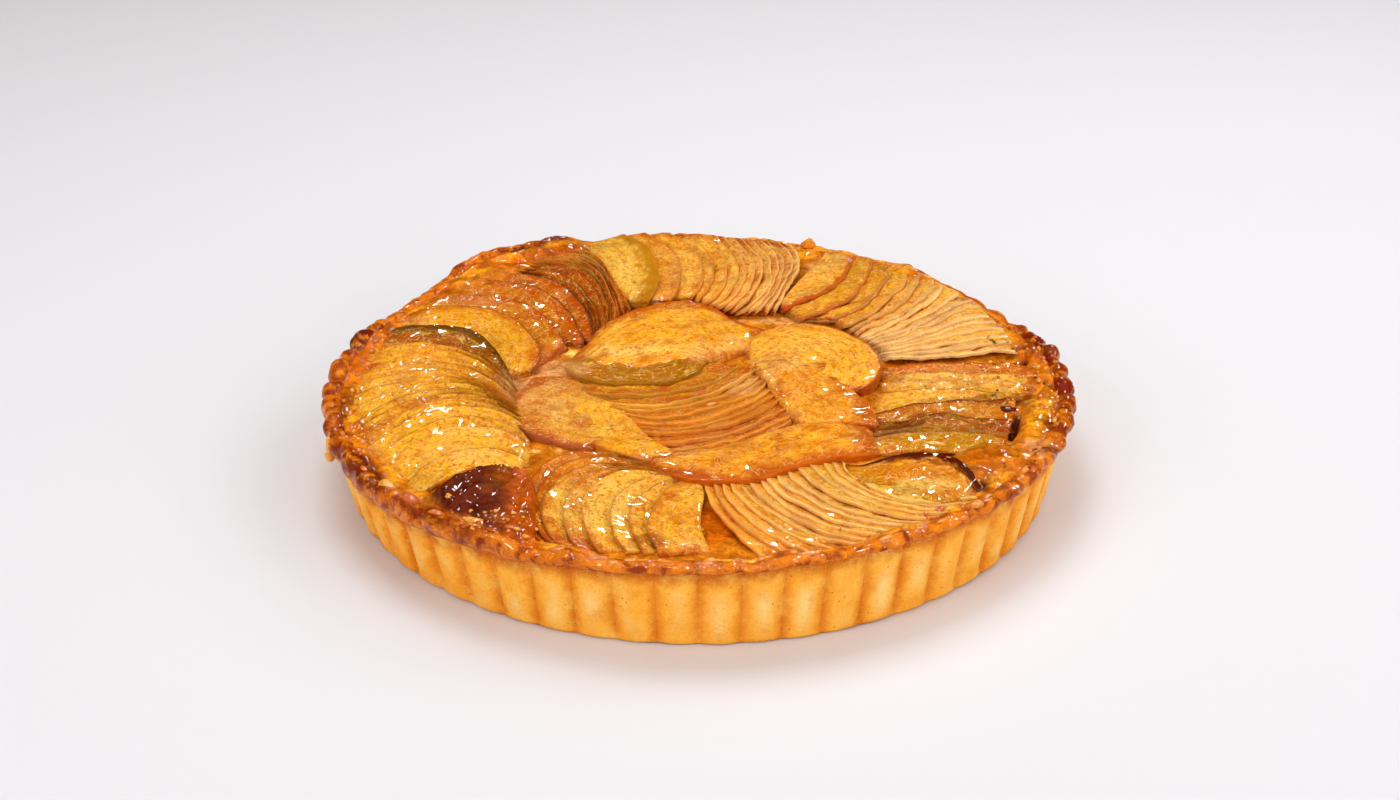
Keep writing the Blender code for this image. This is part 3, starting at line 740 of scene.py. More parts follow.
# cream
cream = {
    # rings from the edge inwards: the first ones are finer
    "columns": 640, "rings": 110, "fineRings": 40, "fineTo": 0.100, "coarseFrom": 0.0988,
    "innermost": 0.0015,
    # torn and crumbly stretches beside the lip: angle, half width, height
    "crags": ((356.0, 34.0, 0.0026), (220.0, 16.0, 0.0016), (190.0, 30.0, 0.0010), (140.0, 30.0, 0.0010),
              (272.0, 60.0, 0.0008)),
    "outer": 0.1346, "level": 0.0300, "blankTop": 0.026, "blankDeep": 0.006,
    "bandEnd": 0.1338,        # where the cream meets the lip
    "deep": "#B85A0A", "light": "#E08A1C", "band": "#FFA41E", "bandDeep": "#E07412", "spots": "#A03C06",
    "beside": "#A83C06", "burnt": "#601C02",
    # where the cream begins to rise to the lip: angle, radius
    "riseFrom": ((0, 0.1225), (30, 0.1250), (60, 0.1265), (90, 0.1280), (120, 0.1250), (150, 0.1250),
                 (175, 0.1262), (205, 0.1255), (225, 0.1235), (250, 0.1268), (270, 0.1285), (300, 0.1275),
                 (325, 0.1235), (345, 0.1210)),
    # puffs: radius, angle, half length, half width, height over the level, darkness
    "puffs": (
        (0.1290, 117.0, 0.0110, 9.0, 0.0094, 0.4),
        (0.1275, 132.0, 0.0110, 15.0, 0.0086, 0.0),
        (0.1250, 146.0, 0.0090, 12.0, 0.0042, 0.0),
        (0.1240, 328.0, 0.0170, 9.0, 0.0066, 0.2),
        (0.1300, 48.0, 0.0080, 8.0, 0.0050, 0.0),
        (0.1290, 345.0, 0.0070, 10.0, 0.0040, 0.2),
    ),
    # dark hollows: radius, angle, half length, half width, depth
    "hollows": ((0.1215, 343.5, 0.0016, 6.0, 0.0050), (0.1262, 318.5, 0.0024, 4.5, 0.0060),
                (0.1262, 7.0, 0.0028, 1.6, 0.0045), (0.1290, 12.0, 0.0022, 1.4, 0.0040),
                (0.0232, 15.0, 0.0036, 9.0, 0.0060), (0.0700, 333.5, 0.0030, 2.6, 0.0060)),
}
# the slice that stood up and burnt at the front left: outline in millimetres, heights of its back and foot
burntPeak = {
    "outline": ((-93, -92), (-84, -85), (-74, -78), (-66, -78), (-57, -82), (-52, -96), (-53, -112),
                (-58, -121), (-70, -114), (-82, -105)),
    "back": 0.0389, "foot": 0.0346, "backY": -0.080, "footY": -0.112, "rightSide": "#B85008",
    # peakSheen: a grey-mauve painted sheen on the burnt peak
    "peakSheen": "#8A3C1C",
}


def creamSurface(x, y):
    # height of the cream's top, and how dark it is baked
    r = np.hypot(x, y)
    a = np.degrees(np.arctan2(y, x)) % 360.0
    p = np.stack([x, y, np.zeros(len(x))], 1)
    z = cream["level"] + 0.0007 * lumps(p, 0.016, 51, 2) + 0.0004 * lumps(p, 0.005, 52, 2)
    start = around(a, cream["riseFrom"]) + 0.0012 * lumps(p, 0.008, 53, 2)
    bandShare = np.clip((r - start) / (cream["bandEnd"] - start), 0, 1)
    z += (lipHeight(a) - 0.0008 - cream["level"]) * (1 - (1 - bandShare) ** 1.8)
    z += 0.0009 * smooth(0, 0.3, bandShare) * lumps(p, 0.0055, 54, 3)
    bandShare = smooth(0.05, 0.45, bandShare)
    torn = bandShare * smooth(cream["outer"], 0.1325, r) * (lumps(p, 0.0062, 56, 3) - 0.15)
    for cragAngle, cragHalf, cragHeight in cream["crags"]:
        z += cragHeight * bumpAt(a, cragAngle, cragHalf) ** 0.5 * torn
    darkness = np.zeros(len(x))
    rise = np.zeros(len(x))
    alongRays = np.stack([r * 0.35, np.radians(a) * 0.12, np.zeros(len(x))], 1)
    for pr, pa, halfR, halfA, top, dark in cream["puffs"]:
        near = np.clip(1 - ((r - pr) / halfR) ** 2, 0, 1) ** 0.6 * bumpAt(a, pa, halfA) ** 0.6
        ridge = 1 - np.abs(lumps(alongRays, 0.0055, 61 + int(pa), 3)) * 2.2        # folds that run outward
        ragged = near * (0.86 + 0.30 * dark * ridge + 0.16 * lumps(p, 0.006, 60 + int(pa), 3))
        rise = np.maximum(rise, top * ragged)
        darkness = np.maximum(darkness, dark * smooth(0.05, 0.5, near))
    z = np.maximum(z, cream["level"] + rise)
    inside = insideBy(x, y, burntPeak["outline"]) + 0.0010 * lumps(p, 0.006, 92, 2)
    slope = smooth(burntPeak["footY"], burntPeak["backY"], y)
    peak = burntPeak["foot"] + (burntPeak["back"] - burntPeak["foot"]) * slope
    slanted = np.stack([x * 1.6 - y * 0.8, y * 0.35 + x * 0.2, np.zeros(len(x))], 1)
    fold = 1 - np.abs(lumps(slanted, 0.0085, 93, 3)) * 2.0
    crumbly = smooth(-0.100, -0.112, y)
    peak = peak + 0.0011 * fold + (0.0004 + 0.0010 * crumbly) * lumps(p, 0.0028, 94, 3)
    peak = peak + 0.0007 * bumpAt(inside * 1000, 3.2, 2.6) * slope
    z = np.maximum(z, z + (peak - z) * smooth(-0.0012, 0.0036, inside))
    darkness = np.maximum(darkness, smooth(-0.001, 0.002, inside))
    for hr, ha, halfR, halfA, deep in cream["hollows"]:
        off = (r - hr + 0.002 * lumps(p, 0.01, 91, 2)) / halfR
        near = np.clip(1 - off ** 2, 0, 1) * bumpAt(a, ha, halfA) ** 0.5
        z -= deep * near
        darkness = np.maximum(darkness, 1.3 * smooth(0.1, 0.5, near))
    z -= 0.0010 * smooth(0.1337, cream["outer"], r)
    return z, darkness, bandShare


nothingSelected()
bpy.ops.mesh.primitive_circle_add(vertices=cream["columns"], radius=cream["outer"], fill_type="NOTHING",
                                  location=(0, 0, cream["blankTop"]))
bpy.ops.object.transform_apply(location=True, rotation=False, scale=False)
disc = bpy.context.object
bpy.ops.object.mode_set(mode="EDIT")
bpy.ops.mesh.select_all(action="SELECT")
bpy.ops.mesh.extrude_edges_move(TRANSFORM_OT_translate={"value": (0.0, 0.0, -cream["blankDeep"])})
bpy.ops.transform.resize(value=(0.975, 0.975, 1.0), center_override=(0.0, 0.0, cream["blankTop"]))
bpy.ops.mesh.edge_face_add()
bpy.ops.mesh.select_all(action="DESELECT")
bpy.ops.object.mode_set(mode="OBJECT")
ringZ, halfDown = readPoints(disc.data)[:, 2], cream["blankTop"] - cream["blankDeep"] / 2
disc.data.vertices.foreach_set("select", ringZ > halfDown)
edgeEnds = np.empty(len(disc.data.edges) * 2, dtype=np.int32)
disc.data.edges.foreach_get("vertices", edgeEnds)
topEdge = (ringZ[edgeEnds.reshape(-1, 2)] > halfDown).all(axis=1)
disc.data.edges.foreach_set("select", topEdge)
disc.data.polygons.foreach_set("select", np.zeros(len(disc.data.polygons), dtype=bool))
bpy.ops.object.mode_set(mode="EDIT")
radii = list(np.linspace(cream["outer"], cream["fineTo"], cream["fineRings"]))
radii += list(np.linspace(cream["coarseFrom"], cream["innermost"], cream["rings"] - cream["fineRings"]))
for r0, r1 in zip(radii, radii[1:]):
    bpy.ops.mesh.extrude_edges_move(TRANSFORM_OT_translate={"value": (0.0, 0.0, 0.0)})
    bpy.ops.transform.resize(value=(r1 / r0, r1 / r0, 1.0), center_override=(0.0, 0.0, cream["blankTop"]))
bpy.ops.mesh.edge_face_add()
bpy.ops.mesh.select_all(action="SELECT")
bpy.ops.mesh.normals_make_consistent(inside=False)
bpy.ops.object.mode_set(mode="OBJECT")
points = readPoints(disc.data)
top = points[:, 2] > halfDown
z, darkness, bandShare = creamSurface(points[:, 0], points[:, 1])
points[:, 2] = np.where(top, z, points[:, 2])
writePoints(disc.data, points)
r = np.hypot(points[:, 0], points[:, 1])
a = np.degrees(np.arctan2(points[:, 1], points[:, 0])) % 360.0
p = points * np.array([1, 1, 0])
tone = lumps(p, 0.012, 71, 3)[:, None]
creamColor = mixed(hexRow(cream["deep"]), cream["light"], 0.5 + 0.5 * tone)
band = bandShare[:, None]
bandColor = mixed(hexRow(cream["band"]), cream["bandDeep"], smoothBand(p, 0.009, 72, 3, -0.3, 0.5)[:, None])
creamColor = creamColor * (1 - band) + bandColor * band
spots = smoothBand(p, 0.0075, 74, 3, 0.05, 0.55)[:, None] * band
creamColor = mixed(creamColor, cream["spots"], 0.7 * spots)
toRim = (smooth(0.1290, 0.1336, r) * smoothBand(p, 0.010, 75, 2, -0.3, 0.4))[:, None]
creamColor = mixed(creamColor, cream["beside"], 0.7 * toRim)
creamColor = stained(creamColor, points[:, 0], points[:, 1], points[:, 2])
dark = np.clip(darkness * (1 + 0.4 * lumps(p, 0.006, 73, 2)), 0, 1)[:, None]
creamColor = mixed(creamColor, cream["burnt"], dark)
onPeak = insideBy(points[:, 0], points[:, 1], burntPeak["outline"]) > -0.001
toRight = (onPeak * smooth(-0.070, -0.060, points[:, 0] + 0.002 * lumps(p, 0.005, 76, 2)))[:, None]
creamColor = mixed(creamColor, burntPeak["rightSide"], 0.8 * toRight)
# painted sheen: grey-mauve patches over the burnt peak stand for the gloss of its glaze
peakSheenShare = (onPeak * smoothBand(p, 0.0032, 77, 3, 0.25, 0.7) * 0.40)[:, None]
creamColor = mixed(creamColor, burntPeak["peakSheen"], peakSheenShare)
paint(disc.data, "tint", creamColor)
disc.data.materials.append(creamMat)
disc.name = "almondCream"
disc.data.name = "almondCream"
smoothShade(disc, 70)
settle(disc, "filling")
print("cream made:", len(disc.data.polygons), "faces")


# apple slices
# one slice as cut: a thin bar with rounded edges, later bent along its own arc
blankSize = {"length": 0.060, "width": 0.014, "thickness": 0.0026, "along": 66, "across": 13, "round": 0.0006}
nothingSelected()
bpy.ops.mesh.primitive_grid_add(x_subdivisions=blankSize["along"], y_subdivisions=blankSize["across"],
                                size=1.0)
blank = bpy.context.object
bpy.ops.object.mode_set(mode="EDIT")
bpy.ops.mesh.select_all(action="SELECT")
bpy.ops.transform.resize(value=(blankSize["length"], blankSize["width"], 1.0))
bpy.ops.object.mode_set(mode="OBJECT")
useModifier(blank, "SOLIDIFY", thickness=blankSize["thickness"], offset=-1.0)
useModifier(blank, "BEVEL", width=blankSize["round"], segments=2, limit_method="ANGLE",
            angle_limit=math.radians(60))
blank.name = "sliceBlank"
blankPoints = readPoints(blank.data)
blankAlong = np.clip(blankPoints[:, 0] / blankSize["length"] + 0.5, 0, 1)
# 0 at the arc, 1 at the straight side
blankFar = np.clip(0.5 - blankPoints[:, 1] / blankSize["width"], 0, 1)
blankDown = -blankPoints[:, 2] / blankSize["thickness"]
blankFar = blankFar ** 1.35
sliceCount = 0
# what a slice has when its own values don't say
plainLook = {"edgeShare": 0.30, "shade": 0.40, "pale": 0.8, "outerTip": 0.0, "limit": 0.1312, "hump": 0.0,
             "cores": ()}
# what a slice in a fan has when the fan's values don't say
fanLook = {"fall": 0.0016, "outerTip": 0.0322, "limit": 0.1312, "cores": (), "edgeShare": 0.30, "shade": 0.40}
fleshColors = {"deeper": "#D06406", "shaded": "#A04A06"}
# how far a slice strays from its fan: share of a step, place and crest in metres, the rest as factors
stray = {
    "step": (-0.18, 0.18), "nudge": (-0.0005, 0.0005), "crest": (-0.0003, 0.0003),
    "thickness": (0.85, 1.15), "ragged": (0.6, 1.4), "tint": (0.90, 1.02), "rim": (0.85, 1.15),
    "edge": (0.7, 1.3), "brown": (0.6, 1.4), "char": (0.3, 1.3),
}


def onSight(plan, height):
    # plan points are given at the level of 33 mm; a point at another height slides along its line of sight
    share = (sightFrom[2] - height) / (sightFrom[2] - planLevel)
    return sightFrom[None, :2] + (plan - sightFrom[None, :2]) * share[:, None]


def curveThrough(marks, s):
    # smooth curve through plan points in millimetres, s from 0 to 1
    p = np.array(marks, dtype=float) / 1000
    step = np.concatenate([[0], np.cumsum(np.linalg.norm(np.diff(p, axis=0), axis=1))])
    t = step / step[-1]
    p = np.vstack([2 * p[0] - p[1], p, 2 * p[-1] - p[-2]])
    k = np.clip(np.searchsorted(t, s, side="right") - 1, 0, len(t) - 2)
    f = ((s - t[k]) / (t[k + 1] - t[k]))[:, None]
    a, b, c, d = p[k], p[k + 1], p[k + 2], p[k + 3]
    early = 2 * b + (c - a) * f + (2 * a - 5 * b + 4 * c - d) * f ** 2
    return 0.5 * (early + (3 * b - a - 3 * c + d) * f ** 3)


def gradient(stops, t):
    for (t0, c0), (t1, c1) in zip(stops, stops[1:]):
        if t <= t1:
            f = 0 if t1 == t0 else (t - t0) / (t1 - t0)
            return hexRow(c0) * (1 - f) + hexRow(c1) * f
    return hexRow(stops[-1][1])


def cutSlice(arc, base, crest, look, last=False, tip=0.0292):
    # bends a copy of the blank: its rounded edge follows arc, its face falls to base and under the next slice
    global sliceCount
    sliceCount += 1
    seed = sliceCount
    look = {**plainLook, **look}
    piece = bpy.data.objects.new("slice", blank.data.copy())
    scene.collection.objects.link(piece)
    s, far, down = blankAlong, blankFar, blankDown
    flatZero, alongSlice = np.zeros(len(s)), s * blankSize["length"]
    start, end = arc(s), base(s)
    across = end - start
    gap = np.linalg.norm(across, axis=1)
    thickness = np.minimum(look["thickness"], 0.55 * gap + 0.0003)
    reach = 1.0 if last else 1.0 + np.clip(0.004 / np.maximum(gap, 0.002), 0.2, 0.9)
    wave = lumps(np.stack([alongSlice, np.full(len(s), seed * 0.37), flatZero], 1), 0.009, seed, 3)
    outward = across / np.maximum(gap, 1e-5)[:, None]
    plan = start + across * (far * reach)[:, None] - outward * (look["ragged"] * wave * (1 - far))[:, None]
    rise = (1 - np.abs(2 * s - 1) ** 6.0) ** 0.7
    edge = tip + (crest - tip) * rise
    edge = np.where(s > 0.5, np.maximum(edge, look["outerTip"]), edge)
    fall = look["fall"] if last else thickness * 1.05
    z = edge - fall * far * reach + look["hump"] * np.sin(math.pi * far) * rise
    wave = lumps(np.stack([alongSlice, np.full(len(s), seed * 0.61), far * 0.01], 1), 0.007, seed + 3, 2)
    z = z + look["ragged"] * 0.5 * wave * rise
    for cx, cy, halfX, halfY, deep in look["cores"]:
        offX, offY = (plan[:, 0] * 1000 - cx) / halfX, (plan[:, 1] * 1000 - cy) / halfY
        near = np.clip(1 - offX ** 2 - offY ** 2, 0, 1)
        z = z - deep * near
    plan = onSight(plan, z)
    radius = np.hypot(plan[:, 0], plan[:, 1])
    held = (look["limit"] + 0.15 * (radius - look["limit"])) / np.maximum(radius, 1e-6)
    plan = plan * np.where(radius > look["limit"], held, 1.0)[:, None]
    flat = np.concatenate([plan, np.zeros((len(plan), 1))], 1)
    z = z + 0.0007 * lumps(flat, 0.022, 301, 2) + 0.00055 * lumps(flat, 0.0060, 302 + seed, 3)
    z = z - down * thickness
    writePoints(piece.data, np.concatenate([plan, z[:, None]], 1))
    fromArc = far * reach * gap
    corners = np.empty(len(piece.data.loops), dtype=np.int32)
    piece.data.loops.foreach_get("vertex_index", corners)
    uv = np.stack([alongSlice + seed * 0.11, fromArc + down * thickness * 0.3], 1)[corners]
    piece.data.uv_layers[0].data.foreach_set("uv", uv.astype(np.float32).ravel())
    tips = smooth(0.36, 0.5, np.abs(s - 0.5))
    brown = np.clip(look["brown"] * (1 - 0.4 * smooth(0, 0.01, fromArc)) + 0.25 * tips, 0, 1)
    edgeWidth = np.minimum(look["edge"], look["edgeShare"] * gap) * appleLook["edgeScale"]
    paint(piece.data, "marks",
          np.stack([edgeWidth, brown, flatZero + look["char"], flatZero + look["pale"]], 1))
    tone = lumps(flat, 0.0065, 411 + seed, 2)
    color = look["tint"][None, :] * (1 + 0.16 * np.minimum(tone[:, None], 0.2))
    deeper = (look["brown"] * smoothBand(flat, 0.010, 421, 3, 0.05, 0.6))[:, None]
    color = mixed(color, fleshColors["deeper"], 0.7 * deeper)
    # the flesh lies in the shade of the next slice's edge
    if not last:
        color = mixed(color, fleshColors["shaded"], (look["shade"] * smooth(0.60, 1.0, far * reach))[:, None])
    paint(piece.data, "tint", np.clip(stained(color, plan[:, 0], plan[:, 1], z), 0, 1))
    rimColor = np.clip(look["rim"][None, :] * (1 + 0.30 * np.minimum(tone[:, None], 0.1)), 0, 1)
    paint(piece.data, "rim", 0.35 * stained(rimColor, plan[:, 0], plan[:, 1], z) + 0.65 * rimColor)
    return piece


# each fan: its main arcs in millimetres, from the lowest slice to the top one, inner tip first; how many
# slices from one arc to the next; the straight side of the top slice; crest heights; colours by place
fans = {
    "apple_fan_1": {
        "arcs": (
            ((-27, 60), (-32, 80), (-37, 98), (-42, 113), (-50, 122), (-62, 119), (-74, 112)),
            ((-38, 32), (-36, 52), (-38, 70), (-42, 88), (-50, 102), (-62, 109), (-82, 105)),
            ((-41, 26), (-42, 44), (-46, 62), (-52, 78), (-60, 90), (-70, 96), (-84, 97), (-98, 92)),
            ((-44, 26), (-46, 38), (-52, 58), (-60, 74), (-70, 84), (-82, 89), (-93, 90), (-106, 85)),
            ((-50, 24), (-56, 42), (-66, 62), (-78, 73), (-90, 76), (-101, 74), (-113, 67)),
            ((-64, 2), (-61, 15), (-62, 28), (-70, 46), (-84, 62), (-98, 65), (-110, 62), (-119, 54)),
        ),
        "pales": ((0, 0.5), (0.35, 0.6), (0.6, 0.1), (0.9, 0.1), (1, 0.7)),
        "side": ((-70, -4), (-77, 14), (-84, 30), (-94, 41), (-105, 45), (-119, 46)),
        "steps": (5, 4, 1, 1, 1), "crest": (0.0378, 0.0352), "thickness": 0.0019,
        "tints": ((0.0, "#CA6808"), (0.2, "#E08618"), (0.5, "#B45404"), (0.75, "#B45806"), (0.95, "#D47606"),
                  (1.0, "#E88E06")),
        "rims": ((0.0, "#EC9C3C"), (0.2, "#E8983C"), (0.4, "#C06C20"), (0.55, "#6A300C"), (1.0, "#6A3C16")),
        "edge": 0.0010, "brown": 0.66, "char": 0.1, "ragged": 0.0014,
    },
    "apple_fan_2": {
        "arcs": (
            ((-69, -6), (-75, 14), (-83, 33), (-92, 43), (-106, 47), (-123, 44)),
            ((-67, -13), (-74, 5), (-83, 20), (-93, 30), (-107, 36), (-127, 33)),
            ((-64, -26), (-74, -12), (-84, -1), (-95, 6), (-110, 6), (-129, -4)),
            ((-62, -35), (-70, -22), (-80, -13), (-91, -9), (-104, -12), (-116, -22), (-126, -38)),
            ((-60, -47), (-66, -35), (-76, -27), (-88, -24), (-100, -29), (-111, -42), (-119, -57)),
            ((-59, -58), (-65, -48), (-75, -41), (-86, -39), (-96, -45), (-104, -57), (-110, -72)),
            ((-58, -69), (-66, -60), (-77, -56), (-88, -59), (-96, -69), (-101, -85)),
        ),
        "pales": ((0, 0.0), (0.06, 0.0), (0.1, 0.5), (0.6, 0.8), (1, 1.0)),
        "side": ((-60, -75), (-68, -72), (-78, -70), (-86, -76), (-93, -85), (-99, -92)),
        "steps": (1, 5, 3, 3, 2, 1), "crest": (0.0362, 0.0338), "thickness": 0.0016,
        "tints": ((0.0, "#6C4203"), (0.07, "#945404"), (0.13, "#FFA610"), (0.5, "#FFAE18"), (0.8, "#FFAC16"),
                  (1.0, "#FFAE1E")),
        "rims": ((0.0, "#5E3803"), (0.05, "#7E4206"), (0.12, "#D0741C"), (0.6, "#A8601A"), (1.0, "#6A3C14")),
        "edge": 0.0006, "brown": 0.26, "char": 0.0, "ragged": 0.0009, "firstEdge": 0.0050,
    },
    "apple_fan_3": {
        "arcs": (
            ((-10, -73), (-24, -62), (-38, -58), (-50, -62), (-57, -75), (-59, -92), (-57, -108),
             (-52, -119)),
            ((-8, -76), (-22, -68), (-36, -68), (-46, -75), (-52, -88), (-53, -102), (-50, -114),
             (-46, -122)),
            ((-6, -77), (-18, -72), (-28, -73), (-35, -80), (-39, -90), (-39, -104), (-36, -118),
             (-33, -125)),
            ((-5, -78), (-14, -76), (-22, -80), (-28, -90), (-30, -102), (-28, -114), (-24, -126)),
            ((-3, -79), (-8, -82), (-13, -90), (-16, -100), (-17, -112), (-13, -127)),
        ),
        "pales": ((0, 0.1), (0.3, 0.9), (1, 1.0)),
        "side": ((1, -80), (2, -90), (1, -100), (1, -112), (4, -127)),
        "steps": (2, 2, 1, 2), "crest": (0.0345, 0.0336), "thickness": 0.0017,
        "tints": ((0.0, "#DA7010"), (0.18, "#F0941A"), (0.3, "#FFB438"), (0.8, "#FFB840"), (1.0, "#FFA428")),
        "rims": ((0.0, "#A8480C"), (0.4, "#B86A20"), (1.0, "#C87A2C")),
        "edge": 0.0007, "brown": 0.34, "char": 0.0, "ragged": 0.0010,
    },
    "apple_fan_4": {
        "arcs": (
            ((2, -82), (3, -92), (8, -105), (14, -117), (20, -128)),
            ((14, -76), (17, -88), (25, -102), (36, -114), (52, -123)),
            ((26, -70), (31, -84), (42, -98), (58, -108), (78, -113)),
            ((38, -63), (43, -78), (54, -92), (70, -101), (90, -103)),
            ((50, -64), (54, -77), (64, -88), (78, -94), (96, -92)),
        ),
        "pales": ((0, 0.6), (1, 0.6)),
        "side": ((53, -71), (62, -65), (74, -60), (84, -61), (93, -69), (98, -86)),
        "steps": (4, 4, 3, 3), "crest": (0.0335, 0.0340), "thickness": 0.0014,
        "tints": ((0.0, "#FF9818"), (0.5, "#FFA428"), (0.8, "#FFAE38"), (1.0, "#FFA828")),
        "rims": ((0.0, "#F4A040"), (0.5, "#FFC070"), (1.0, "#FFB85C")),
        "edge": 0.0017, "brown": 0.28, "char": 0.0, "ragged": 0.0012, "edgeShare": 0.45, "shade": 0.55,
        "cap": {"crest": 0.0352, "fall": 0.0012, "rim": "#5E1002", "edge": 0.0060, "tint": "#D87C06",
                "thickness": 0.0024, "char": 0.9, "pale": 0.1, "brown": 0.40},
        "cores": ((80, -77, 7.0, 3.5, 0.0012),),
    },
    "apple_fan_5": {
        "arcs": (
            ((66, 7), (74, 9), (85, 12), (100, 11), (113, 11), (126, 10)),
            ((66, -1), (78, 3), (95, 4), (112, 3), (128, 0)),
            ((66, -13), (80, -10), (95, -10), (110, -12), (126, -15)),
            ((60, -31), (72, -26), (84, -21), (97, -19), (108, -19), (118, -18)),
            ((60, -37), (74, -35), (84, -30), (92, -30), (100, -33), (114, -36)),
            ((60, -50), (72, -45), (86, -44), (100, -46), (110, -50)),
        ),
        "pales": ((0, 0.0), (0.15, 1.0), (0.4, 0.8), (0.45, 0.1), (1, 0.2)),
        "side": ((60, -60), (70, -58), (80, -57), (92, -60), (102, -66)),
        "steps": (1, 2, 1, 1, 3), "crest": (0.0330, 0.0342), "thickness": 0.0018,
        "tints": ((0.0, "#C86408"), (0.12, "#FFB444"), (0.38, "#FFB03A"), (0.45, "#C07008"), (0.7, "#B06406"),
                  (1.0, "#C88810")),
        "rims": ((0.0, "#8A3C10"), (0.2, "#E09C4C"), (0.4, "#6A2808"), (0.65, "#6A2808"), (1.0, "#B08048")),
        "edge": 0.0012, "brown": 0.30, "char": 0.2, "ragged": 0.0016,
    },
    "apple_fan_6": {
        "arcs": (
            ((70, 14), (84, 17), (100, 19), (114, 22), (124, 23)),
            ((69, 21), (84, 28), (100, 36), (112, 42), (121, 42)),
            ((65, 28), (80, 40), (95, 54), (105, 65), (112, 69)),
            ((61, 36), (74, 49), (86, 63), (95, 78), (98, 89)),
            ((56, 43), (67, 55), (78, 71), (86, 88), (88, 101)),
            ((50, 49), (60, 58), (72, 74), (79, 92), (80, 108)),
            ((38, 51), (49, 58), (62, 73), (70, 90), (74, 113)),
            ((33, 58), (40, 68), (52, 78), (60, 92), (68, 116)),
        ),
        "pales": ((0, 1.0), (0.6, 1.0), (0.75, 0.4), (0.9, 0.1), (1, 0.8)),
        "side": ((31, 60), (36, 75), (43, 92), (50, 108), (56, 123)),
        "steps": (3, 4, 3, 2, 1, 1, 1), "crest": (0.0332, 0.0364), "thickness": 0.0014,
        "tints": ((0.0, "#FFB044"), (0.5, "#FFB450"), (0.72, "#FFB048"), (0.82, "#F09C14"), (0.92, "#E0900C"),
                  (1.0, "#FFA444")),
        "rims": ((0.0, "#FFC880"), (0.6, "#FFC47C"), (0.8, "#D89444"), (1.0, "#B8480C")),
        "edge": 0.0017, "brown": 0.20, "char": 0.0, "ragged": 0.0018, "edgeShare": 0.45, "shade": 0.50,
        "outerTip": 0.0338, "limit": 0.1332,
    },
    "apple_fan_7": {
        "arcs": (
            ((30, 57), (35, 74), (39, 90), (43, 104), (43, 116), (38, 130)),
            ((14, 57), (21, 66), (28, 82), (31, 98), (30, 114), (23, 134)),
            ((2, 62), (10, 72), (15, 86), (17, 100), (15, 116), (8, 138)),
            ((-6, 66), (-2, 74), (1, 86), (2, 100), (1, 114), (-4, 128), (-12, 142)),
            ((-23, 61), (-20, 70), (-17, 84), (-17, 98), (-19, 114), (-24, 128), (-34, 142)),
        ),
        "pales": ((0, 1.0), (0.7, 0.9), (0.9, 0.5), (1, 1.0)),
        "side": ((-26, 60), (-31, 76), (-37, 92), (-42, 106), (-46, 120), (-50, 134)),
        "steps": (4, 4, 3, 2), "crest": (0.0366, 0.0384), "thickness": 0.0016,
        "tints": ((0.0, "#FFC26A"), (0.5, "#FFBC54"), (0.75, "#FFB23A"), (0.9, "#FF9C18"), (1.0, "#DEA444")),
        "rims": ((0.0, "#FFC474"), (0.7, "#F0983C"), (0.9, "#C86C14"), (1.0, "#D08208")),
        "edge": 0.0010, "brown": 0.32, "char": 0.0, "ragged": 0.0012, "lastEdge": 0.0060, "outerTip": 0.0368,
        "limit": 0.1345, "fall": 0.0030, "cores": ((-30, 95, 4.0, 15.0, 0.0009),),
    },
    "apple_fan_centre": {
        "arcs": (
            ((-22, -57), (-12, -61), (0, -60), (14, -53), (26, -44), (34, -36)),
            ((-28, -44), (-16, -50), (-4, -50), (12, -44), (24, -35), (33, -25)),
            ((-32, -33), (-20, -40), (-6, -41), (10, -34), (23, -23), (30, -13)),
            ((-38, -22), (-26, -30), (-10, -32), (6, -26), (19, -15), (26, -5)),
            ((-44, -12), (-32, -21), (-14, -23), (2, -16), (15, -4), (23, 8)),
            ((-50, -2), (-40, -12), (-24, -15), (-8, -12), (6, -3), (16, 10)),
            ((-52, 8), (-44, -1), (-30, -5), (-14, -4), (-2, 4), (4, 14)),
        ),
        "pales": ((0, 0.3), (0.8, 0.2), (0.95, 0.0), (1, 0.0)),
        "side": ((-49, 17), (-38, 18), (-28, 17), (-18, 18), (-8, 23), (4, 24)),
        "steps": (2, 2, 2, 2, 1, 1), "crest": (0.0326, 0.0348), "thickness": 0.0020,
        "tints": ((0.0, "#DC780C"), (0.4, "#D27006"), (0.75, "#CE7006"), (0.9, "#E0980C"), (1.0, "#9C6002")),
        "rims": ((0.0, "#E89438"), (0.35, "#E08C30"), (0.6, "#E89C34"), (0.8, "#F0AC40"), (1.0, "#9C6404")),
        "edge": 0.0014, "brown": 0.42, "char": 0.0, "ragged": 0.0018, "edgeShare": 0.40, "shade": 0.60,
        "lastThick": 0.0034,
    },
}


def blendArc(one, other, f, nudge):
    return lambda s: one(s) * (1 - f) + other(s) * f + nudge[None, :] * np.sin(math.pi * s)[:, None]


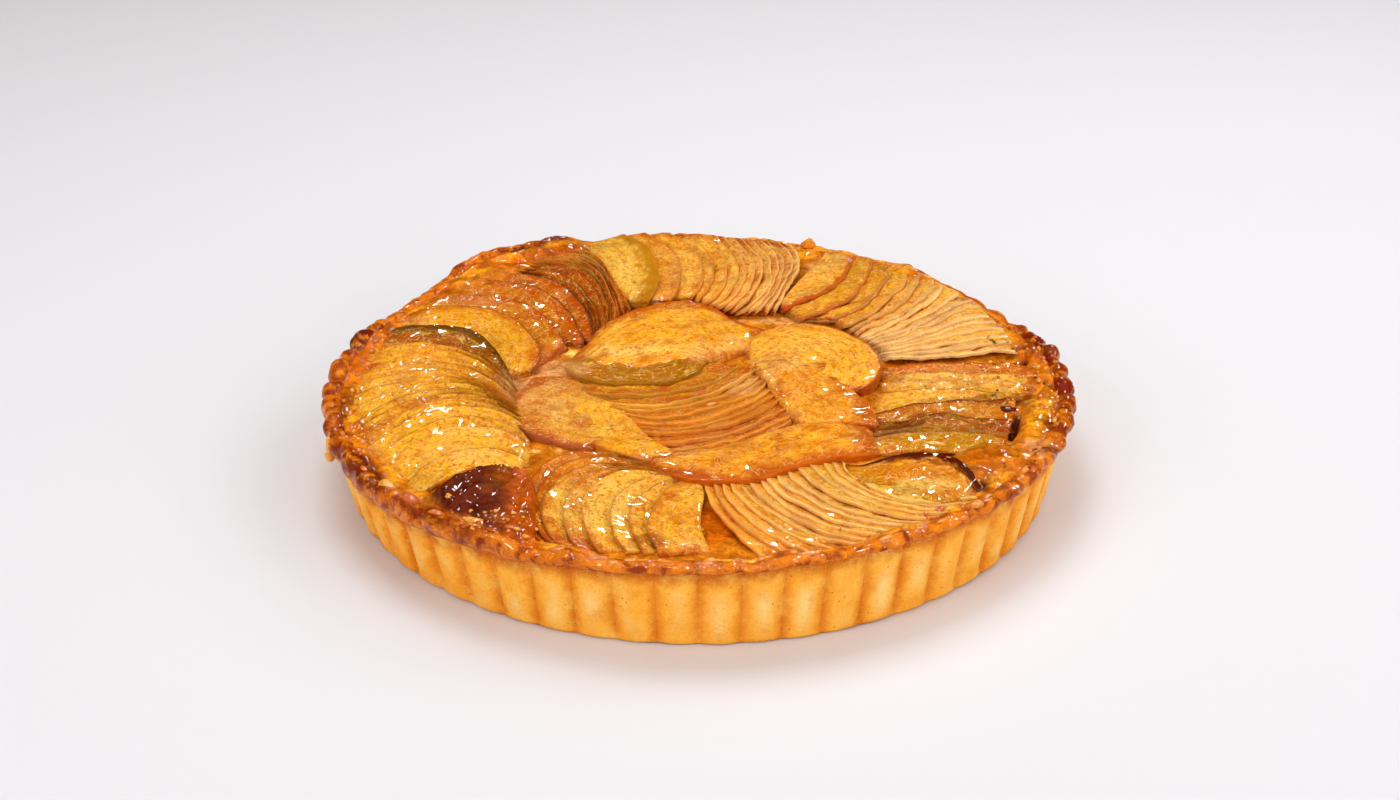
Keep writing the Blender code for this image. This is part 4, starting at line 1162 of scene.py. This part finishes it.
def layFan(node, spec):
    arcs = [lambda s, a=a: curveThrough(a, s) for a in spec["arcs"]]
    side = lambda s: curveThrough(spec["side"], s)
    lay = []
    for i, count in enumerate(spec["steps"]):
        for k in range(count):
            f = (k + (randomDraw.uniform(*stray["step"]) if k else 0.0)) / count
            nudge = np.array([randomDraw.uniform(*stray["nudge"]), randomDraw.uniform(*stray["nudge"])])
            lay.append(blendArc(arcs[i], arcs[i + 1], f, nudge if k else nudge * 0))
    lay.append(arcs[-1])
    pieces, drawn = [], ("thickness", "ragged", "tint", "rim", "edge", "brown", "char")
    for k, arc in enumerate(lay):
        t = k / (len(lay) - 1)
        last = k == len(lay) - 1
        factors = {key: randomDraw.uniform(*stray[key]) for key in drawn}
        look = {
            **{key: spec.get(key, value) for key, value in fanLook.items()},
            **{key: spec[key] * factor for key, factor in factors.items() if key in spec},
            "tint": np.clip(gradient(spec["tints"], t) * factors["tint"], 0, 1),
            "rim": gradient(spec["rims"], t) * factors["rim"],
            "pale": float(np.interp(t, *zip(*spec["pales"]))),
        }
        if last and "lastThick" in spec:
            look["thickness"], look["brown"], look["pale"] = spec["lastThick"], 0.0, 0.0
        if k == 0 and "firstEdge" in spec:
            look["edge"], look["edgeShare"] = spec["firstEdge"], 0.9
        if last and "lastEdge" in spec:
            look["edge"], look["edgeShare"] = spec["lastEdge"], 0.9
        crest = spec["crest"][0] * (1 - t) + spec["crest"][1] * t + randomDraw.uniform(*stray["crest"])
        pieces.append(cutSlice(arc, side if last else lay[k + 1], crest, look, last))
    if "cap" in spec:
        # the last slice lies turned round, its toasted arc to the back
        cap = dict(look, edgeShare=0.9, **spec["cap"])
        cap["tint"], cap["rim"] = hexRow(cap["tint"]), hexRow(cap["rim"])
        pieces.append(cutSlice(side, arcs[-1], cap["crest"], cap, True))
    return pieces


for node, spec in fans.items():
    pieces = layFan(node, spec)
    whole = joinUp(pieces, "slicedApple" + node.replace("apple_fan", ""))
    whole.data.materials.append(appleMat)
    smoothShade(whole, 50)
    settle(whole, node)
    print(node, "laid:", len(pieces), "slices")

# slices that lie on their own: arc, straight side, crest height, tip height, fall, hump
loose = {
    "apple_slice_1": {
        "arc": ((-44, 28), (-38, 46), (-26, 60), (-13, 68), (-2, 68), (7, 62), (15, 50), (30, 38)),
        "side": ((-50, 16), (-36, 10), (-22, 10), (-10, 13), (6, 19), (24, 26)),
        "crest": 0.0354, "tip": 0.0302, "fall": 0.0014, "hump": 0.0010,
        "tint": "#FA9E12", "rim": "#BC4A08", "edge": 0.0024, "brown": 0.50, "char": 0.0, "thickness": 0.0046,
    },
    "apple_slice_2": {
        "arc": ((15, 31), (28, 43), (42, 48), (56, 43), (66, 31), (70, 16), (68, 0), (60, -14)),
        "side": ((18, 20), (24, 12), (30, 4), (36, -6), (44, -16)),
        "crest": 0.0350, "tip": 0.0305, "fall": 0.0006, "hump": 0.0012,
        "tint": "#FFA82A", "rim": "#B04C10", "edge": 0.0014, "brown": 0.34, "char": 0.1, "thickness": 0.0044,
    },
    "apple_slice_3": {
        "arc": ((40, 26), (50, 9), (57, -7), (63, -22), (66, -42)),
        "side": ((16, 18), (24, 2), (28, -12), (32, -24), (38, -42)),
        "crest": 0.0346, "tip": 0.0310, "fall": 0.0012, "hump": 0.0016,
        "tint": "#F69018", "rim": "#D06A18", "edge": 0.0018, "brown": 0.54, "char": 0.0, "thickness": 0.0044,
    },
    "apple_slice_4": {
        "arc": ((-16, -73), (2, -80), (18, -78), (34, -70), (48, -62), (66, -60)),
        "side": ((-20, -62), (-2, -60), (14, -52), (27, -42), (40, -37), (62, -38)),
        "crest": 0.0334, "tip": 0.0305, "fall": -0.0010, "hump": 0.0012,
        "tint": "#F89208", "rim": "#C86008", "edge": 0.0015, "brown": 0.60, "char": 0.0, "thickness": 0.0040,
    },
    "apple_slice_5": {
        "arc": ((-62, 0), (-70, -20), (-66, -38), (-54, -50), (-36, -58)),
        "side": ((-46, 2), (-40, -12), (-34, -24), (-29, -36), (-22, -50)),
        "crest": 0.0328, "tip": 0.0302, "fall": -0.0004, "hump": 0.0012,
        "tint": "#D28438", "rim": "#AC5C2C", "edge": 0.0016, "brown": 0.60, "char": 0.0, "thickness": 0.0036,
    },
    "apple_slice_6": {
        "arc": ((-46, -14), (-49, -32), (-42, -48), (-29, -60), (-10, -68)),
        "side": ((-36, -12), (-28, -24), (-23, -35), (-17, -47), (-6, -60)),
        "crest": 0.0334, "tip": 0.0303, "fall": 0.0004, "hump": 0.0010,
        "tint": "#FFA814", "rim": "#D07A1C", "edge": 0.0014, "brown": 0.35, "char": 0.0, "thickness": 0.0034,
    },
}
for node, spec in loose.items():
    arc = lambda s, a=spec["arc"]: curveThrough(a, s)
    side = lambda s, a=spec["side"]: curveThrough(a, s)
    look = dict(spec, tint=hexRow(spec["tint"]), rim=hexRow(spec["rim"]), ragged=0.0014, edgeShare=0.6)
    whole = joinUp([cutSlice(arc, side, spec["crest"], look, True, spec["tip"])], "looseSlice" + node[-2:])
    whole.data.materials.append(appleMat)
    smoothShade(whole, 50)
    settle(whole, node)
nothingSelected()
bpy.data.objects.remove(blank)
print("loose slices laid")

# beads and runs of glaze, blisters, crumbs and a torn point of dough; in millimetres unless metres are named
trimmings = {
    "seed": 12,
    # beads of glaze, listed one by one: x, y, width, length, turn, height
    "beads": (
        (-107, -84, 5.0, 7.5, -44, 3.4), (-98, -94, 5.0, 8.5, -40, 3.4), (-88, -102, 4.6, 8.0, -34, 3.2),
        (-75, -109, 3.0, 7.5, -20, 1.6), (-58, -54, 3.0, 5.0, 0, 1.4), (-50, -53, 3.6, 4.2, 0, 1.8),
        (-76, 63, 2.2, 5.0, -15, 1.0), (107, -64, 2.6, 3.4, 0, 1.4), (118, -78, 3.2, 6.0, 60, 1.8),
        (97, -102, 4.0, 6.0, 35, 2.0), (93, -73, 2.4, 5.5, 60, 1.4), (-47, -133, 2.4, 6.0, -10, 1.5),
        (-33, -135, 2.6, 8.0, 0, 1.6), (-22, -133, 2.2, 5.0, 10, 1.3), (4, -135, 2.4, 4.0, 0, 1.5),
        (12, -134, 2.2, 4.0, 20, 1.4), (36, -131, 2.4, 7.0, 12, 1.5), (62, -122, 2.6, 6.0, 30, 1.5),
        (74, -113, 2.4, 5.0, 35, 1.4), (-118, 20, 2.0, 3.0, 0, 1.0), (84, -53, 2.0, 9.0, -10, 1.2),
        (78, -52, 1.8, 6.0, 30, 1.1), (90, -30, 1.6, 9.0, 2, 1.0), (100, 11, 2.2, 4.0, 0, 1.2),
        (108, 10, 2.0, 3.0, 0, 1.1), (0, -16, 1.6, 7.0, 30, 1.0), (5, -22, 1.5, 6.0, 15, 0.9),
        (-42, 2, 1.6, 4.0, 0, 0.9), (-3, 62, 1.8, 7.0, -50, 1.1), (32, 40, 1.8, 6.0, 40, 1.0),
        (36, 43, 1.6, 4.0, 40, 0.9), (57, -12, 2.2, 3.2, 20, 1.4), (52, -11, 1.8, 2.4, 0, 1.0),
    ),
    "beadsWithin": 136.0,        # a listed bead is drawn in to this radius in millimetres
    # beads strewn on the lip and the slices: how many, between which degrees, radius in metres, width in
    # millimetres
    "lipBeads": {"count": 150, "degrees": (160, 385), "radius": (0.1275, 0.1378), "width": (1.0, 2.4)},
    "sliceBeads": {"count": 160, "degrees": (0, 360), "radius": 0.127, "width": (0.6, 1.4)},
    "ambers": ("#D8720C", "#E88E18", "#C65A08", "#F0A42C"),
    # the run of glaze down the left of the wall: angle, then radius, top, bottom and width in metres
    "run": (200.0, 0.1412, 0.0335, 0.0240, 0.0026), "runColor": "#F0A020",
    # burnt blisters: x, y, width, length, turn, height
    "blisters": ((84, 14, 3.4, 6.5, 10, 2.4), (110, -38, 5.5, 9.0, 5, 2.2), (113, -22, 4.0, 9.0, -8, 1.8)),
    "blisterColor": "#5A1604",
    # crumbs: x from, x to, y from, y to, how many, largest size in millimetres
    "crumbs": ((-92, -52, -127, -104, 80, 1.7), (112, 134, -30, 34, 90, 2.1), (112, 132, -78, -48, 30, 1.6),
               (-132, -116, -60, 30, 24, 1.2), (-40, 60, -134, -124, 16, 1.0)),
    "crumbsBetween": (0.112, 0.1372),        # crumbs lie between these radii in metres
    "crumbColors": ("#A8561C", "#5A2008", "#E09A3C", "#C87020", "#8A3A10"),
    # the torn point of dough: its place in metres, its radius and height, its colour
    "point": {"place": (0.0475, 0.1275, 0.0338), "radius": 0.0050, "height": 0.0054, "color": "#F09A2C"},
    "lowest": 0.02,        # a drop whose top is below this, in metres, missed the tart
}
strew = random.Random(trimmings["seed"])
bpy.context.view_layer.update()
depsgraph = bpy.context.evaluated_depsgraph_get()
laid = ("crustShell", "almondCream", "slicedApple", "looseSlice")
surfaces = [BVHTree.FromObject(obj, depsgraph) for obj in scene.objects if obj.name.startswith(laid)]


def topAt(x, y):
    # height of whatever lies on top at a place
    hits = [tree.ray_cast((x, y, 0.08), (0.0, 0.0, -1.0))[0] for tree in surfaces]
    return max([hit.z for hit in hits if hit], default=0.0)


nothingSelected()
bpy.ops.mesh.primitive_uv_sphere_add(segments=12, ring_count=7, radius=1.0)
drop = bpy.context.object
drop.name = "dropBlank"
dropPoints = readPoints(drop.data)


def setDrop(x, y, size, turn, sink, rough, hexCode, z=None):
    # presses a copy of the drop to its size, dents it, and sets it on the surface; sizes in millimetres
    piece = bpy.data.objects.new("drop", drop.data.copy())
    scene.collection.objects.link(piece)
    a = math.radians(turn)
    dented = dropPoints * (1 + rough * lumps(dropPoints + strew.uniform(0, 50), 0.9, 7, 2))[:, None]
    dented = dented * np.array(size)[None, :] / 2000
    c, s = math.cos(a), math.sin(a)
    turned = dented @ np.array([[c, s, 0.0], [-s, c, 0.0], [0.0, 0.0, 1.0]])
    height = topAt(x, y) if z is None else z
    writePoints(piece.data, turned + np.array([x, y, height - sink * size[2] / 2000]))
    paint(piece.data, "tint", np.repeat(hexRow(hexCode)[None, :], len(turned), 0))
    return piece


def polarPlace(degrees, away):
    return away * math.cos(math.radians(degrees)), away * math.sin(math.radians(degrees))


def finishDrops(pieces, name, material):
    for piece in [piece for piece in pieces if readPoints(piece.data)[:, 2].max() < trimmings["lowest"]]:
        pieces.remove(piece)            # one that missed the tart
        bpy.data.objects.remove(piece)
    whole = joinUp(pieces, name)
    whole.data.materials.append(material)
    smoothShade(whole, 180)
    settle(whole, None)
    print(name, "made:", len(pieces))


ambers, beads = trimmings["ambers"], []
for x, y, width, length, turn, tall in trimmings["beads"]:
    within = min(1.0, trimmings["beadsWithin"] / math.hypot(x, y)) / 1000
    beads.append(setDrop(x * within, y * within, (length, width, tall * 1.6), turn, 0.35, 0.16,
                         strew.choice(ambers)))
onLipBeads, onSliceBeads = trimmings["lipBeads"], trimmings["sliceBeads"]
for k in range(onLipBeads["count"]):
    degrees, away = strew.uniform(*onLipBeads["degrees"]), strew.uniform(*onLipBeads["radius"])
    wide = strew.uniform(*onLipBeads["width"])
    size = (wide * strew.uniform(1.0, 2.4), wide, wide * 0.8)
    beads.append(setDrop(*polarPlace(degrees, away), size, degrees + 90, 0.45, 0.2, strew.choice(ambers[:3])))
for k in range(onSliceBeads["count"]):
    degrees = strew.uniform(*onSliceBeads["degrees"])
    away = onSliceBeads["radius"] * math.sqrt(strew.random())
    wide = strew.uniform(*onSliceBeads["width"])
    size = (wide * strew.uniform(1.0, 2.6), wide, wide * 0.7)
    beads.append(setDrop(*polarPlace(degrees, away), size, strew.uniform(0, 180), 0.5, 0.2,
                         strew.choice(ambers)))
degrees, away, runTop, runFoot, wide = trimmings["run"]
x, y = polarPlace(degrees, away)
runSize = (wide * 1000, wide * 1300, (runTop - runFoot) * 1000)
runDrop = (wide * 1500, wide * 1600, wide * 1700)
beads.append(setDrop(x, y, runSize, degrees, 0, 0.12, trimmings["runColor"], (runTop + runFoot) / 2))
beads.append(setDrop(x, y, runDrop, degrees, 0, 0.08, trimmings["runColor"], runFoot + wide * 0.5))
finishDrops(beads, "glazeBeads", glazeMat)
blisters = []
for x, y, width, length, turn, tall in trimmings["blisters"]:
    blisters.append(setDrop(x / 1000, y / 1000, (length, width, tall), turn, 0.40, 0.4,
                            trimmings["blisterColor"]))
finishDrops(blisters, "burntBlisters", creamMat)
crumbs = []
for x0, x1, y0, y1, count, largest in trimmings["crumbs"]:
    for k in range(count):
        x, y = strew.uniform(x0, x1) / 1000, strew.uniform(y0, y1) / 1000
        wide = largest * strew.uniform(0.3, 1.0) ** 1.5
        if trimmings["crumbsBetween"][0] < math.hypot(x, y) < trimmings["crumbsBetween"][1]:
            size = (wide * strew.uniform(1, 1.6), wide, wide * 0.8)
            crumbs.append(setDrop(x, y, size, strew.uniform(0, 180), 0.1, 0.5,
                                  strew.choice(trimmings["crumbColors"])))
finishDrops(crumbs, "bakedCrumbs", crustMat)

# a torn point of dough standing up at the back
nothingSelected()
torn = trimmings["point"]
bpy.ops.mesh.primitive_cone_add(vertices=9, radius1=torn["radius"], radius2=0.0004, depth=torn["height"],
                                end_fill_type="NGON")
point = bpy.context.object
useModifier(point, "SUBSURF", levels=2, render_levels=2)
points = readPoints(point.data)
points = points * np.array([1.2, 0.55, 1.0]) + np.array([0.18, 0.0, 0.0]) * points[:, 2:3]
points = points * (1 + 0.25 * lumps(points, 0.0022, 5, 2))[:, None] + np.array(torn["place"])
writePoints(point.data, points)
bpy.ops.object.transform_apply(location=True, rotation=True, scale=True)
paint(point.data, "tint", np.repeat(hexRow(torn["color"])[None, :], len(points), 0))
point.name = "tornPoint"
point.data.name = "tornPoint"
point.data.materials.append(lipMat)
smoothShade(point, 180)
settle(point, None)
nothingSelected()
bpy.data.objects.remove(drop)
print("trimmings set")
